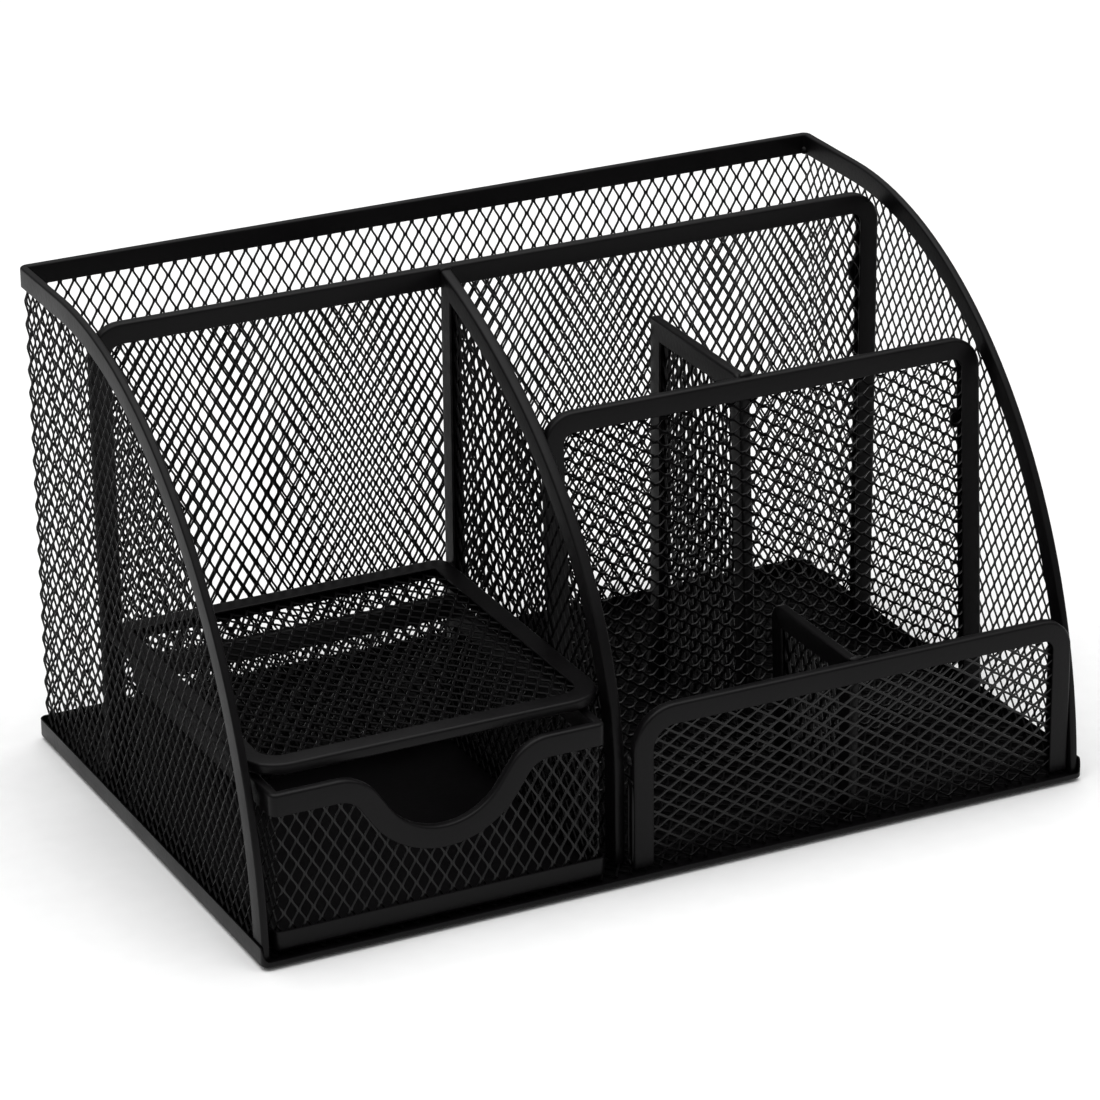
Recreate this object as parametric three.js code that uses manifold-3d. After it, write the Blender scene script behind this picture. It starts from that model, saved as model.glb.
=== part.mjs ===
// Desk organizer of expanded steel mesh edged with folded steel channel, with one drawer that slides out to the front.
// Millimetres. +X is to the right, +Y to the back and +Z up, and the origin is the middle of the footprint on the desk.
// A mesh sheet is a plain plate here, as thick as the mesh is over its strands.
import * as THREE from "three";
import { mergeVertices } from "three/addons/utils/BufferGeometryUtils.js";
import Module from "manifold-3d";

// Overall box
const width = 220.8;
const depth = 143;
const height = 127.1;

// Stock and clearances
const meshThickness = 1;
const meshPlay = 0.15; // between a mesh sheet and the inside of its channel
const seatGap = 0.15; // between pieces that are welded together or rest on each other
const channelFace = 5.2; // how far a channel's flanges reach over the mesh
const shellChannel = 2; // outside thickness of the channel on the shell
const innerChannel = 2.9; // outside thickness of the channel on dividers, panels and the shelf
const cutOver = 4; // how far a cutting tool runs past what it cuts

// Feet and base tray
const standHeight = 0.8;
const footRadius = 5;
const footInset = [8.9, 6.7]; // foot centre from the side and from the front or back of the tray
const trayPlate = 0.6;
const trayFlange = 0.4;
const trayFlangeHeight = 5;
const trayHemHeight = 1.6;
const trayCorner = 2;
const floorFrontSetback = 2.9; // mesh floor's front edge behind the tray's front

// Shell: back and both sides in one bent sheet
const shellCorner = 2.2; // outside bend radius of its channel
const shellFrontSetback = 1.5; // channel's front behind the tray's front
const flatTopLength = 27; // level stretch of each side, from the back
const sideCurveFoot = -4.55; // height of the side curve's ellipse centre

// Dividers and panels
const letterSlot = 40.15; // back of the shell to the rear divider's middle
const rearDividerDrop = 3.2; // below the shell's top
const dividerCorner = 8;
const centreDividerX = -14.5;
const centreDividerDrop = 0.35; // rear end of its top, below the rear divider's top
const centreFrontSetback = 5.9; // behind the front of the shell's channel
const centreCurveFoot = 23.6; // height at which its front edge turns straight down
const centreCurveRise = 0.93; // share of the ellipse's height that its curve climbs
const midPanelY = -20; // at its top edge
const midPanelLean = 3.3; // degrees, top to the back
const midPanelDrop = 2.8; // below the side curve
const frontPanelSetback = 4.5; // its middle behind the tray's front
const frontPanelTop = 43.8;
const frontPanelLeftCorner = 11;
const rearBayDividerX = 43.3;
const rearBayDividerDrop = 0.5; // below the middle panel's top
const bayDividerCorner = 4;
const frontBayDividerX = 48.45;
const frontBayDividerDrop = 0.3; // below the front panel's top
const lugSize = [2, 1.2, 5.2];
const lugFromSide = 4.3; // lug's right edge in from the divider's right end
const lugFromTop = 19.4; // lug's top below the divider's top

// Shelf over the drawer
const shelfTop = 47.1;
const shelfFrontSetback = 9; // behind the tray's front
const shelfFrontCorner = 10;
const shelfRearCorner = 4;

// Drawer
const drawerSlidingGap = 0.25; // over the mesh floor
const drawerHeadroom = 1.1; // under the shelf
const drawerLeftPlay = 1.7; // to the shell's channel
const drawerRightGap = 4.55; // to the centre divider
const drawerFrontSetback = 2.5; // behind the tray's front
const drawerRearGap = 12.75; // to the rear divider
const drawerCorner = 2;
const drawerChannel = 2.6;
const drawerChannelFace = 5.6;
const drawerPanPlate = 0.6;
const drawerPanHeight = 5.4;
const scoopShift = 1.05; // scoop's middle to the right of the drawer's middle
const scoopDepth = 17.1;
const scoopFloorRadius = 17;
const scoopLipRadius = 12.3;
const scoopSlope = THREE.MathUtils.degToRad(56);

// Smoothness: straight steps in a quarter turn of a small bend and in a long curve
const bendSteps = 5;
const curveSteps = 18;

const wasm = await Module();
wasm.setup();

// ---- Solids ----------------------------------------------------------------------------------------------------

// A closed geometry as a solid that can be cut and joined.
function solidOf(geometry) {
  geometry.deleteAttribute("normal");
  geometry.deleteAttribute("uv");
  const merged = mergeVertices(geometry, 1e-4);
  const mesh = new wasm.Mesh({
    numProp: 3,
    vertProperties: merged.attributes.position.array,
    triVerts: new Uint32Array(merged.index.array),
  });
  return new wasm.Manifold(mesh);
}

// A solid as a geometry for a mesh.
function geometryOf(solid) {
  const { vertProperties, triVerts } = solid.getMesh();
  const geometry = new THREE.BufferGeometry();
  geometry.setAttribute("position", new THREE.BufferAttribute(new Float32Array(vertProperties), 3));
  geometry.setIndex(new THREE.BufferAttribute(new Uint32Array(triVerts), 1));
  geometry.computeVertexNormals();
  return geometry;
}

// A shape swept straight through a thickness that is centred on its own plane.
function slab(shape, thickness, steps) {
  const geometry = new THREE.ExtrudeGeometry(shape, { depth: thickness, bevelEnabled: false, curveSegments: steps });
  return geometry.translate(0, 0, -thickness / 2);
}

// A shape drawn as (x, y), swept from one height to another.
function planSlab(shape, low, high, steps = bendSteps) {
  return solidOf(slab(shape, high - low, steps).translate(0, 0, (low + high) / 2));
}

// A shape drawn as (x, z), with its middle plane at y.
function frontSlab(shape, y, thickness, steps = bendSteps) {
  return solidOf(slab(shape, thickness, steps).rotateX(Math.PI / 2).translate(0, y, 0));
}

// A shape drawn as (y, z), with its middle plane at x.
function sideSlab(shape, x, thickness, steps = bendSteps) {
  const turn = new THREE.Matrix4().makeBasis(
    new THREE.Vector3(0, 1, 0),
    new THREE.Vector3(0, 0, 1),
    new THREE.Vector3(1, 0, 0),
  );
  return solidOf(slab(shape, thickness, steps).applyMatrix4(turn).translate(x, 0, 0));
}

// ---- Outlines --------------------------------------------------------------------------------------------------

// An outline through corners [u, v, radius], given anticlockwise, each rounded to its radius.
function outline(corners) {
  const shape = new THREE.Shape();
  corners.forEach(([u, v, radius = 0], i) => {
    const corner = new THREE.Vector2(u, v);
    const [before, after] = [i + corners.length - 1, i + 1].map((j) => {
      const [nextU, nextV] = corners[j % corners.length];
      return new THREE.Vector2(nextU, nextV).sub(corner).normalize();
    });
    if (radius > 0.05) {
      const halfAngle = Math.acos(THREE.MathUtils.clamp(before.dot(after), -1, 1)) / 2;
      const inward = before.clone().add(after).normalize();
      const centre = corner.clone().addScaledVector(inward, radius / Math.sin(halfAngle));
      const start = Math.atan2(inward.y, inward.x) + Math.PI - (Math.PI / 2 - halfAngle);
      shape.absarc(centre.x, centre.y, radius, start, start + Math.PI - 2 * halfAngle, false);
    } else if (i === 0) shape.moveTo(u, v);
    else shape.lineTo(u, v);
  });
  return shape;
}

// A rectangle with a radius for each corner: [left front, right front, right rear, left rear].
function rectangle(left, right, low, high, radii = [0, 0, 0, 0]) {
  return outline([
    [left, low, radii[0]],
    [right, low, radii[1]],
    [right, high, radii[2]],
    [left, high, radii[3]],
  ]);
}

// A box between two corners.
function box(low, high) {
  return planSlab(rectangle(low[0], high[0], low[1], high[1]), low[2], high[2]);
}

// ---- Mesh in channel -------------------------------------------------------------------------------------------

// A mesh sheet and the channel round its edges. slabAt(inset, thickness, drop) is the panel drawn in by inset on
// every channelled edge and longer by drop at an open end.
function channelled(slabAt, channelThickness, face) {
  const slot = meshThickness + 2 * meshPlay;
  const wall = (channelThickness - slot) / 2;
  return {
    mesh: slabAt(wall + meshPlay, meshThickness, 0),
    channel: slabAt(0, channelThickness, 0)
      .subtract(slabAt(face, channelThickness + cutOver, cutOver))
      .subtract(slabAt(wall, slot, cutOver)),
  };
}

// ---- Levels and planes that several pieces share -----------------------------------------------------------------

const sideX = width / 2;
const frontY = -depth / 2;
const rearY = depth / 2;
const trayFloor = standHeight + trayPlate;
const meshFloor = trayFloor + seatGap;
const panelFoot = meshFloor + meshThickness + seatGap;
const shellX = sideX - trayFlange - seatGap; // outside of the shell's channel
const shellY = rearY - trayFlange - seatGap;
const shellFrontY = frontY + shellFrontSetback;
const curveStartY = shellY - flatTopLength;
const bayX = shellX - shellChannel - seatGap; // dividers reach this far to either side
const rearDividerY = shellY - letterSlot;
const rearDividerFace = rearDividerY - innerChannel / 2 - seatGap;
const rearDividerTop = height - rearDividerDrop;
const centreLeftX = centreDividerX - innerChannel / 2 - seatGap;
const centreRightX = centreDividerX + innerChannel / 2 + seatGap;
const frontPanelY = frontY + frontPanelSetback;

// Height of the side curve at y.
function sideCurveHeight(y) {
  const reach = (curveStartY - y) / (curveStartY - shellFrontY);
  return sideCurveFoot + (height - sideCurveFoot) * Math.sqrt(1 - Math.max(reach, 0) ** 2);
}

const midPanelTop = sideCurveHeight(midPanelY) - midPanelDrop;
const lean = THREE.MathUtils.degToRad(midPanelLean);
const rearBayDividerTop = midPanelTop - rearBayDividerDrop;
const frontBayDividerTop = frontPanelTop - frontBayDividerDrop;

// Where the leaning panel's middle plane is at height z.
function midPanelAt(z) {
  return midPanelY - (midPanelTop - z) * Math.tan(lean);
}

// ---- Feet and base ---------------------------------------------------------------------------------------------

function foot(sideways, lengthways) {
  const high = standHeight - seatGap;
  const geometry = new THREE.CylinderGeometry(footRadius, footRadius, high, 8 * bendSteps).rotateX(Math.PI / 2);
  const x = sideways * (sideX - footInset[0]);
  const y = lengthways * (rearY - footInset[1]);
  return solidOf(geometry.translate(x, y, high / 2));
}

function trayOutline(inset) {
  const radius = trayCorner - inset;
  return rectangle(-sideX + inset, sideX - inset, frontY + inset, rearY - inset, Array(4).fill(radius));
}

function baseTray() {
  const hemTop = standHeight + trayHemHeight;
  const flangeTop = standHeight + trayFlangeHeight;
  const frontEnd = box([-width, -depth, hemTop], [width, frontY + trayCorner, flangeTop + cutOver]);
  return planSlab(trayOutline(0), standHeight, flangeTop)
    .subtract(planSlab(trayOutline(trayFlange), trayFloor, flangeTop + cutOver))
    .subtract(frontEnd);
}

function floorMesh() {
  const low = [-bayX, frontY + floorFrontSetback, meshFloor];
  const high = [bayX, shellY - shellChannel - seatGap, meshFloor + meshThickness];
  return box(low, high);
}

// ---- Shell -----------------------------------------------------------------------------------------------------

// Everything inside the shell's outside face drawn in by inset, open to the front.
function shellInside(inset, front) {
  const radius = Math.max(shellCorner - inset, 0);
  const shape = rectangle(-shellX + inset, shellX - inset, front, shellY - inset, [0, 0, radius, radius]);
  return planSlab(shape, meshFloor, height + cutOver);
}

// The bent wall between two insets.
function shellWall(outer, inner) {
  return shellInside(outer, -depth).subtract(shellInside(inner, -depth - cutOver));
}

// The side's outline, drawn in along its top and front edges.
function sideProfile(inset) {
  const shape = new THREE.Shape();
  shape.moveTo(depth, sideCurveFoot);
  shape.lineTo(depth, height - inset);
  const reach = curveStartY - shellFrontY - inset;
  const rise = height - sideCurveFoot - inset;
  shape.absellipse(curveStartY, sideCurveFoot, reach, rise, Math.PI / 2, Math.PI, false);
  return sideSlab(shape, 0, 2 * width, curveSteps);
}

function shellPieces() {
  const slabAt = (inset, thickness) => {
    const outer = (shellChannel - thickness) / 2;
    return shellWall(outer, shellChannel - outer).intersect(sideProfile(inset));
  };
  return channelled(slabAt, shellChannel, channelFace);
}

// The three lengths of the shell's channel, parted on the mitres at the two rear corners.
function shellRims(channel) {
  const reach = 20;
  const mitre = (side, gap) => [
    [side * (shellX + cutOver - gap), shellY + cutOver],
    [side * (shellX - reach - gap), shellY - reach],
  ];
  const [rightOuter, rightInner] = mitre(1, seatGap / 2);
  const [leftOuter, leftInner] = mitre(-1, seatGap / 2);
  const back = outline([leftInner, rightInner, rightOuter, leftOuter]);
  const sideOf = (side) => {
    const [outer, inner] = mitre(side, -seatGap / 2);
    const far = side * width;
    const corners = [outer, inner, [inner[0], -depth], [far, -depth], [far, outer[1]]];
    return outline(side > 0 ? corners : corners.reverse());
  };
  const part = (shape) => channel.intersect(planSlab(shape, -cutOver, height + cutOver));
  return { back: part(back), left: part(sideOf(-1)), right: part(sideOf(1)) };
}

// ---- Dividers and panels ---------------------------------------------------------------------------------------

// A panel that faces the front, with channel up both ends and over the top.
function uprightPanel(left, right, foot, top, y, radii) {
  const slabAt = (inset, thickness, drop) => {
    const [leftRadius, rightRadius] = radii.map((radius) => radius - inset);
    const shape = rectangle(left + inset, right - inset, foot - drop, top - inset, [0, 0, rightRadius, leftRadius]);
    return frontSlab(shape, y, thickness);
  };
  return channelled(slabAt, innerChannel, channelFace);
}

function centreDivider() {
  const front = shellFrontY + centreFrontSetback;
  const rearTop = rearDividerTop - centreDividerDrop;
  const rise = (rearTop - centreCurveFoot) / centreCurveRise;
  const reach = (rearDividerFace - front) / (1 - Math.sqrt(1 - centreCurveRise ** 2));
  const middle = front + reach;
  const slabAt = (inset, thickness, drop) => {
    const rear = rearDividerFace - inset;
    const start = Math.acos((rear - middle) / (reach - inset));
    const shape = new THREE.Shape();
    shape.moveTo(front + inset, panelFoot - drop);
    shape.lineTo(rear, panelFoot - drop);
    shape.absellipse(middle, centreCurveFoot, reach - inset, rise - inset, start, Math.PI, false);
    return sideSlab(shape, centreDividerX, thickness, curveSteps);
  };
  return channelled(slabAt, innerChannel, channelFace);
}

// A low divider between two cross panels. frontAt(z) and rearAt(z) are where its ends stand.
function bayDivider(x, frontAt, rearAt, top, frontRadius, rearRadius) {
  const slabAt = (inset, thickness, drop) => {
    const [low, high] = [panelFoot - drop, top - inset];
    const shape = outline([
      [frontAt(low) + inset, low],
      [rearAt(low) - inset, low],
      [rearAt(high) - inset, high, rearRadius - inset],
      [frontAt(high) + inset, high, frontRadius - inset],
    ]);
    return sideSlab(shape, x, thickness);
  };
  return channelled(slabAt, innerChannel, channelFace);
}

const leanedThickness = innerChannel / Math.cos(lean);

function rearBayDivider() {
  const frontAt = (z) => midPanelAt(z) + leanedThickness / 2 + 2 * seatGap;
  return bayDivider(rearBayDividerX, frontAt, () => rearDividerFace, rearBayDividerTop, bayDividerCorner, 0);
}

function frontBayDivider() {
  const frontAt = () => frontPanelY + innerChannel / 2 + seatGap;
  const rearAt = (z) => midPanelAt(z) - leanedThickness / 2 - 2 * seatGap;
  return bayDivider(frontBayDividerX, frontAt, rearAt, frontBayDividerTop, 0, bayDividerCorner);
}

// The middle panel, drawn from its foot; a turned group leans it back.
function midPanel() {
  const long = (midPanelTop - panelFoot - seatGap) / Math.cos(lean);
  return uprightPanel(centreRightX, bayX, 0, long, 0, [dividerCorner, dividerCorner]);
}

// A small plate welded behind a divider's right end. rearFaceAt(z) is where the divider's rear face is.
function lug(top, rearFaceAt) {
  const [wide, thick, high] = lugSize;
  const right = bayX - lugFromSide;
  const upper = top - lugFromTop;
  const front = rearFaceAt(upper) + 2 * seatGap;
  return box([right - wide, front, upper - high], [right, front + thick, upper]);
}

// ---- Shelf -----------------------------------------------------------------------------------------------------

function shelf() {
  const [left, right] = [-bayX, centreLeftX];
  const [front, rear] = [frontY + shelfFrontSetback, rearDividerFace];
  const slabAt = (inset, thickness) => {
    const radii = [shelfFrontCorner, shelfFrontCorner, shelfRearCorner, shelfRearCorner];
    const inner = radii.map((radius) => radius - inset);
    const shape = rectangle(left + inset, right - inset, front + inset, rear - inset, inner);
    const middle = shelfTop - innerChannel / 2;
    return planSlab(shape, middle - thickness / 2, middle + thickness / 2);
  };
  return channelled(slabAt, innerChannel, channelFace);
}

// ---- Drawer ----------------------------------------------------------------------------------------------------

const drawerLeft = -shellX + shellChannel + drawerLeftPlay;
const drawerRight = centreLeftX + seatGap - drawerRightGap;
const drawerFront = frontY + drawerFrontSetback;
const drawerRear = rearDividerFace + seatGap - drawerRearGap;
const drawerFoot = meshFloor + meshThickness + drawerSlidingGap;
const drawerTop = shelfTop - innerChannel - drawerHeadroom;

function drawerInside(inset, low, high) {
  const radii = Array(4).fill(Math.max(drawerCorner - inset, 0));
  const shape = rectangle(drawerLeft + inset, drawerRight - inset, drawerFront + inset, drawerRear - inset, radii);
  return planSlab(shape, low, high);
}

// Everything under the drawer's top edge, drawn down and out by inset, with the finger scoop in the front.
function underDrawerEdge(inset) {
  const top = drawerTop - inset;
  const middle = (drawerLeft + drawerRight) / 2 + scoopShift;
  const floorRadius = scoopFloorRadius + inset;
  const lipRadius = scoopLipRadius - inset;
  const rounded = (scoopFloorRadius + scoopLipRadius) * (1 - Math.cos(scoopSlope));
  const run = (scoopDepth - rounded) / Math.tan(scoopSlope);
  const lipX = (scoopFloorRadius + scoopLipRadius) * Math.sin(scoopSlope) + run;
  const lipZ = drawerTop - scoopLipRadius;
  const floorZ = drawerTop - scoopDepth + scoopFloorRadius;
  const [down, up] = [-Math.PI / 2, Math.PI / 2];
  const shape = new THREE.Shape();
  shape.moveTo(drawerLeft - cutOver, 0);
  shape.lineTo(drawerRight + cutOver, 0);
  shape.lineTo(drawerRight + cutOver, top);
  shape.absarc(middle + lipX, lipZ, lipRadius, up, up + scoopSlope, false);
  shape.absarc(middle, floorZ, floorRadius, down + scoopSlope, down - scoopSlope, true);
  shape.absarc(middle - lipX, lipZ, lipRadius, up - scoopSlope, up, false);
  shape.lineTo(drawerLeft - cutOver, top);
  const frontDepth = 2 * (drawerChannel + cutOver);
  const behind = drawerFront + frontDepth / 2;
  const low = [drawerLeft - cutOver, behind - cutOver / 2, 0];
  const high = [drawerRight + cutOver, drawerRear + cutOver, top];
  return frontSlab(shape, drawerFront, frontDepth).add(box(low, high));
}

function drawerSides() {
  const slabAt = (inset, thickness) => {
    const outer = (drawerChannel - thickness) / 2;
    const foot = drawerFoot + drawerPanPlate + seatGap;
    const wall = drawerInside(outer, foot, height).subtract(drawerInside(drawerChannel - outer, 0, 2 * height));
    return wall.intersect(underDrawerEdge(inset));
  };
  return channelled(slabAt, drawerChannel, drawerChannelFace);
}

function drawerPan() {
  const flange = (drawerChannel - meshThickness) / 2 - 2 * seatGap;
  const panTop = drawerFoot + drawerPanHeight;
  const inside = drawerInside(flange, drawerFoot + drawerPanPlate, panTop + cutOver);
  return drawerInside(0, drawerFoot, panTop).subtract(inside);
}

// ---- Materials and assembly ------------------------------------------------------------------------------------

const finishes = {
  powderCoat: new THREE.MeshStandardMaterial({ color: "#1f1e1f", roughness: 0.5, metalness: 0.2 }),
  coatedMesh: new THREE.MeshStandardMaterial({ color: "#171617", roughness: 0.45, metalness: 0.2 }),
  rubber: new THREE.MeshStandardMaterial({ color: "#121212", roughness: 0.9, metalness: 0 }),
};

function add(group, name, solid, finish) {
  const mesh = new THREE.Mesh(geometryOf(solid), finish);
  mesh.name = name;
  group.add(mesh);
}

// Adds a sheet and its channel as two meshes.
function addPair(group, name, pieces, channelName = "rim") {
  add(group, `${name}_mesh`, pieces.mesh, finishes.coatedMesh);
  add(group, `${name}_${channelName}`, pieces.channel, finishes.powderCoat);
}

const frame = new THREE.Group();
for (const [lengthways, end] of [[-1, "front"], [1, "rear"]]) {
  for (const [sideways, side] of [[-1, "left"], [1, "right"]]) {
    add(frame, `foot_${end}_${side}`, foot(sideways, lengthways), finishes.rubber);
  }
}
add(frame, "base_tray", baseTray(), finishes.powderCoat);
add(frame, "floor_mesh", floorMesh(), finishes.coatedMesh);

const shell = shellPieces();
const rims = shellRims(shell.channel);
add(frame, "shell_mesh", shell.mesh, finishes.coatedMesh);
add(frame, "back_rim", rims.back, finishes.powderCoat);
add(frame, "left_side_rim", rims.left, finishes.powderCoat);
add(frame, "right_side_rim", rims.right, finishes.powderCoat);

const dividerCorners = [dividerCorner, dividerCorner];
addPair(
  frame,
  "rear_divider",
  uprightPanel(-bayX, bayX, panelFoot, rearDividerTop, rearDividerY, dividerCorners),
);
addPair(frame, "centre_divider", centreDivider());
addPair(
  frame,
  "front_panel",
  uprightPanel(centreRightX, bayX, panelFoot, frontPanelTop, frontPanelY, [frontPanelLeftCorner, dividerCorner]),
);
addPair(frame, "rear_bay_divider", rearBayDivider());
addPair(frame, "front_bay_divider", frontBayDivider());
addPair(frame, "shelf", shelf(), "frame");
add(frame, "rear_divider_lug", lug(rearDividerTop, () => rearDividerY + innerChannel / 2), finishes.powderCoat);
add(frame, "mid_panel_lug", lug(midPanelTop, (z) => midPanelAt(z) + leanedThickness / 2), finishes.powderCoat);

const leaning = new THREE.Group();
leaning.position.set(0, midPanelAt(panelFoot + seatGap), panelFoot + seatGap);
leaning.rotation.x = -lean;
addPair(leaning, "mid_panel", midPanel());
frame.add(leaning);

const drawer = new THREE.Group();
addPair(drawer, "drawer", drawerSides());
add(drawer, "drawer_pan", drawerPan(), finishes.powderCoat);

const organizer = new THREE.Group();
organizer.add(frame, drawer);

export default organizer;
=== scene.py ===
"""Desk organizer: expanded steel mesh in folded steel channel, black powder coat, with one sliding drawer.

Sizes are in millimetres, and each mesh is turned to metres when its piece is made. Sizes in metres say so.
"""

import logging
import math
from dataclasses import dataclass, field, replace
from enum import Enum
from typing import Callable, Optional, Sequence

import bmesh
import bpy
import numpy as np
from mathutils import Matrix, Vector


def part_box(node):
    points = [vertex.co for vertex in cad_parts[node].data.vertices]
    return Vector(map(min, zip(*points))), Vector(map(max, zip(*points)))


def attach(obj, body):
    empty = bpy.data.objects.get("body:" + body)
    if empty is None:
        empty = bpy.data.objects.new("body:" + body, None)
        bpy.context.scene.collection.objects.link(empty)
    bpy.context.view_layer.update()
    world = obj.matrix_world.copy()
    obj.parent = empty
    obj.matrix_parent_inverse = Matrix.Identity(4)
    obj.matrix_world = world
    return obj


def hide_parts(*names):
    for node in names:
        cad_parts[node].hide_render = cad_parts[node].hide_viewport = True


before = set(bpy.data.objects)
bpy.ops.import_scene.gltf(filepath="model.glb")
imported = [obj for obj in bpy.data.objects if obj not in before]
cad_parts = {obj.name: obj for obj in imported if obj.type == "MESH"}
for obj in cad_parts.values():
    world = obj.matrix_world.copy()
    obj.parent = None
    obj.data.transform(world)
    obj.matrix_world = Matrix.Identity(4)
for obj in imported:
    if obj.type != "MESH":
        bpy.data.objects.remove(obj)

log = logging.getLogger("desk_organizer")

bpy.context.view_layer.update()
MM = 0.001
BAKE_MAP = "OFBake"
SMALLEST_BEND = 0.15
SHORTEST_STRAND = 0.5
LOOKS_UP = 0.7  # The least z of the normal of a face that counts as looking up.

Points = np.ndarray
Faces = list[tuple[int, ...]]
Place = tuple[float, float, float]


class Body(Enum):
    """The rigid bodies that a piece can ride on."""

    FRAME = "frame"
    DRAWER = "drawer"


class Slot(Enum):
    """The record's material slots."""

    POWDER_COAT = "powder_coat"
    COATED_MESH = "coated_mesh"
    RUBBER = "rubber"


class LongWay(Enum):
    """Which way the long diagonal of a mesh's diamonds runs on its sheet."""

    ALONG = "along"
    UP = "up"

    @property
    def across(self) -> int:
        """The coordinate that runs across the strands: 0 for u, 1 for v."""
        return 0 if self is LongWay.UP else 1


# ---- Finishes ------------------------------------------------------------------------------------


def linear(code: str) -> tuple[float, float, float, float]:
    """Turns an sRGB hex colour to linear.

    Args:
        code: The colour as #rrggbb.

    Returns:
        Linear red, green and blue, and an alpha of 1.
    """
    parts = [int(code[i : i + 2], 16) / 255 for i in (1, 3, 5)]
    red, green, blue = [c / 12.92 if c <= 0.04045 else ((c + 0.055) / 1.055) ** 2.4 for c in parts]
    return red, green, blue, 1.0


def add_node(tree: bpy.types.NodeTree, kind: str, inputs: Optional[dict] = None) -> bpy.types.Node:
    """Adds a node with its values and links.

    Args:
        tree: The node tree that it joins.
        kind: The node's type name.
        inputs: Socket name to a value, or to the output socket that feeds it.

    Returns:
        The new node.
    """
    node = tree.nodes.new(kind)
    for key, value in (inputs or {}).items():
        if isinstance(value, bpy.types.NodeSocket):
            tree.links.new(value, node.inputs[key])
        else:
            node.inputs[key].default_value = value
    return node


def empty_tree(owner: bpy.types.Material | bpy.types.World) -> bpy.types.NodeTree:
    """Turns on the nodes of a material or a world, and clears them.

    Args:
        owner: The material or the world.

    Returns:
        Its node tree.
    """
    owner.use_nodes = True
    owner.node_tree.nodes.clear()
    return owner.node_tree


def ramp(node: bpy.types.Node, low: tuple, high: tuple, start: float, end: float) -> None:
    """Sets a colour ramp to run from one colour to another.

    Args:
        node: The colour ramp node.
        low: Colour at start.
        high: Colour at end.
        start: Position of the first stop.
        end: Position of the second stop.
    """
    first, second = node.color_ramp.elements
    first.position, first.color = start, low
    second.position, second.color = end, high


@dataclass(frozen=True)
class PowderCoat:
    """Black polyester powder coat, sprayed dry and baked on steel.

    It gives a deep black with a semi-matte sheen, broken by the fine pebbled skin that baked powder has.
    """

    name: str = "powder_coat_black"
    colour: str = "#060506"
    dusty: str = "#0b0a0b"
    roughness: float = 0.38
    roughness_spread: float = 0.1
    specular: float = 0.13
    ior: float = 1.5
    peel_mm: float = 1.1
    peel_depth_mm: float = 0.05
    peel_strength: float = 0.8
    cloud_mm: float = 14.0
    tint_stops: tuple[float, float] = (0.35, 0.72)
    gloss_stops: tuple[float, float] = (0.3, 0.7)

    def material(self) -> bpy.types.Material:
        """Builds the node material.

        Returns:
            The material, with peel and clouds scaled from their sizes in millimetres.
        """
        made = bpy.data.materials.new(self.name)
        tree = empty_tree(made)
        place = add_node(tree, "ShaderNodeTexCoord").outputs["Object"]
        clouds = add_node(
            tree,
            "ShaderNodeTexNoise",
            {"Vector": place, "Scale": 1 / (self.cloud_mm * MM), "Detail": 4.0, "Roughness": 0.6},
        )
        peel = add_node(
            tree,
            "ShaderNodeTexNoise",
            {"Vector": place, "Scale": 1 / (self.peel_mm * MM), "Detail": 2.0, "Roughness": 0.5},
        )
        tint = add_node(tree, "ShaderNodeValToRGB", {"Fac": clouds.outputs["Fac"]})
        ramp(tint, linear(self.colour), linear(self.dusty), *self.tint_stops)
        gloss = add_node(
            tree,
            "ShaderNodeMapRange",
            {
                "Value": clouds.outputs["Fac"],
                "From Min": self.gloss_stops[0],
                "From Max": self.gloss_stops[1],
                "To Min": self.roughness - self.roughness_spread / 2,
                "To Max": self.roughness + self.roughness_spread / 2,
            },
        )
        bump = add_node(
            tree,
            "ShaderNodeBump",
            {
                "Height": peel.outputs["Fac"],
                "Strength": self.peel_strength,
                "Distance": self.peel_depth_mm * MM,
            },
        )
        coat = add_node(
            tree,
            "ShaderNodeBsdfPrincipled",
            {
                "Base Color": tint.outputs["Color"],
                "Roughness": gloss.outputs["Result"],
                "Normal": bump.outputs["Normal"],
                "Specular IOR Level": self.specular,
                "IOR": self.ior,
            },
        )
        add_node(tree, "ShaderNodeOutputMaterial", {"Surface": coat.outputs["BSDF"]})
        return made


@dataclass(frozen=True)
class MouldedRubber:
    """Black EPDM rubber, moulded: no sheen, with a fine dusty grain."""

    name: str = "moulded_rubber_black"
    colour: str = "#121212"
    dusty: str = "#1e1d1d"
    roughness: float = 0.85
    ior: float = 1.52
    grain_mm: float = 0.35
    grain_depth_mm: float = 0.02
    grain_strength: float = 0.4
    tint_stops: tuple[float, float] = (0.3, 0.7)

    def material(self) -> bpy.types.Material:
        """Builds the node material.

        Returns:
            The material, with its grain scaled from its size in millimetres.
        """
        made = bpy.data.materials.new(self.name)
        tree = empty_tree(made)
        place = add_node(tree, "ShaderNodeTexCoord").outputs["Object"]
        grain = add_node(
            tree,
            "ShaderNodeTexNoise",
            {"Vector": place, "Scale": 1 / (self.grain_mm * MM), "Detail": 3.0},
        )
        tint = add_node(tree, "ShaderNodeValToRGB", {"Fac": grain.outputs["Fac"]})
        ramp(tint, linear(self.colour), linear(self.dusty), *self.tint_stops)
        bump = add_node(
            tree,
            "ShaderNodeBump",
            {
                "Height": grain.outputs["Fac"],
                "Strength": self.grain_strength,
                "Distance": self.grain_depth_mm * MM,
            },
        )
        skin = add_node(
            tree,
            "ShaderNodeBsdfPrincipled",
            {
                "Base Color": tint.outputs["Color"],
                "Roughness": self.roughness,
                "Normal": bump.outputs["Normal"],
                "IOR": self.ior,
            },
        )
        add_node(tree, "ShaderNodeOutputMaterial", {"Surface": skin.outputs["BSDF"]})
        return made


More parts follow.
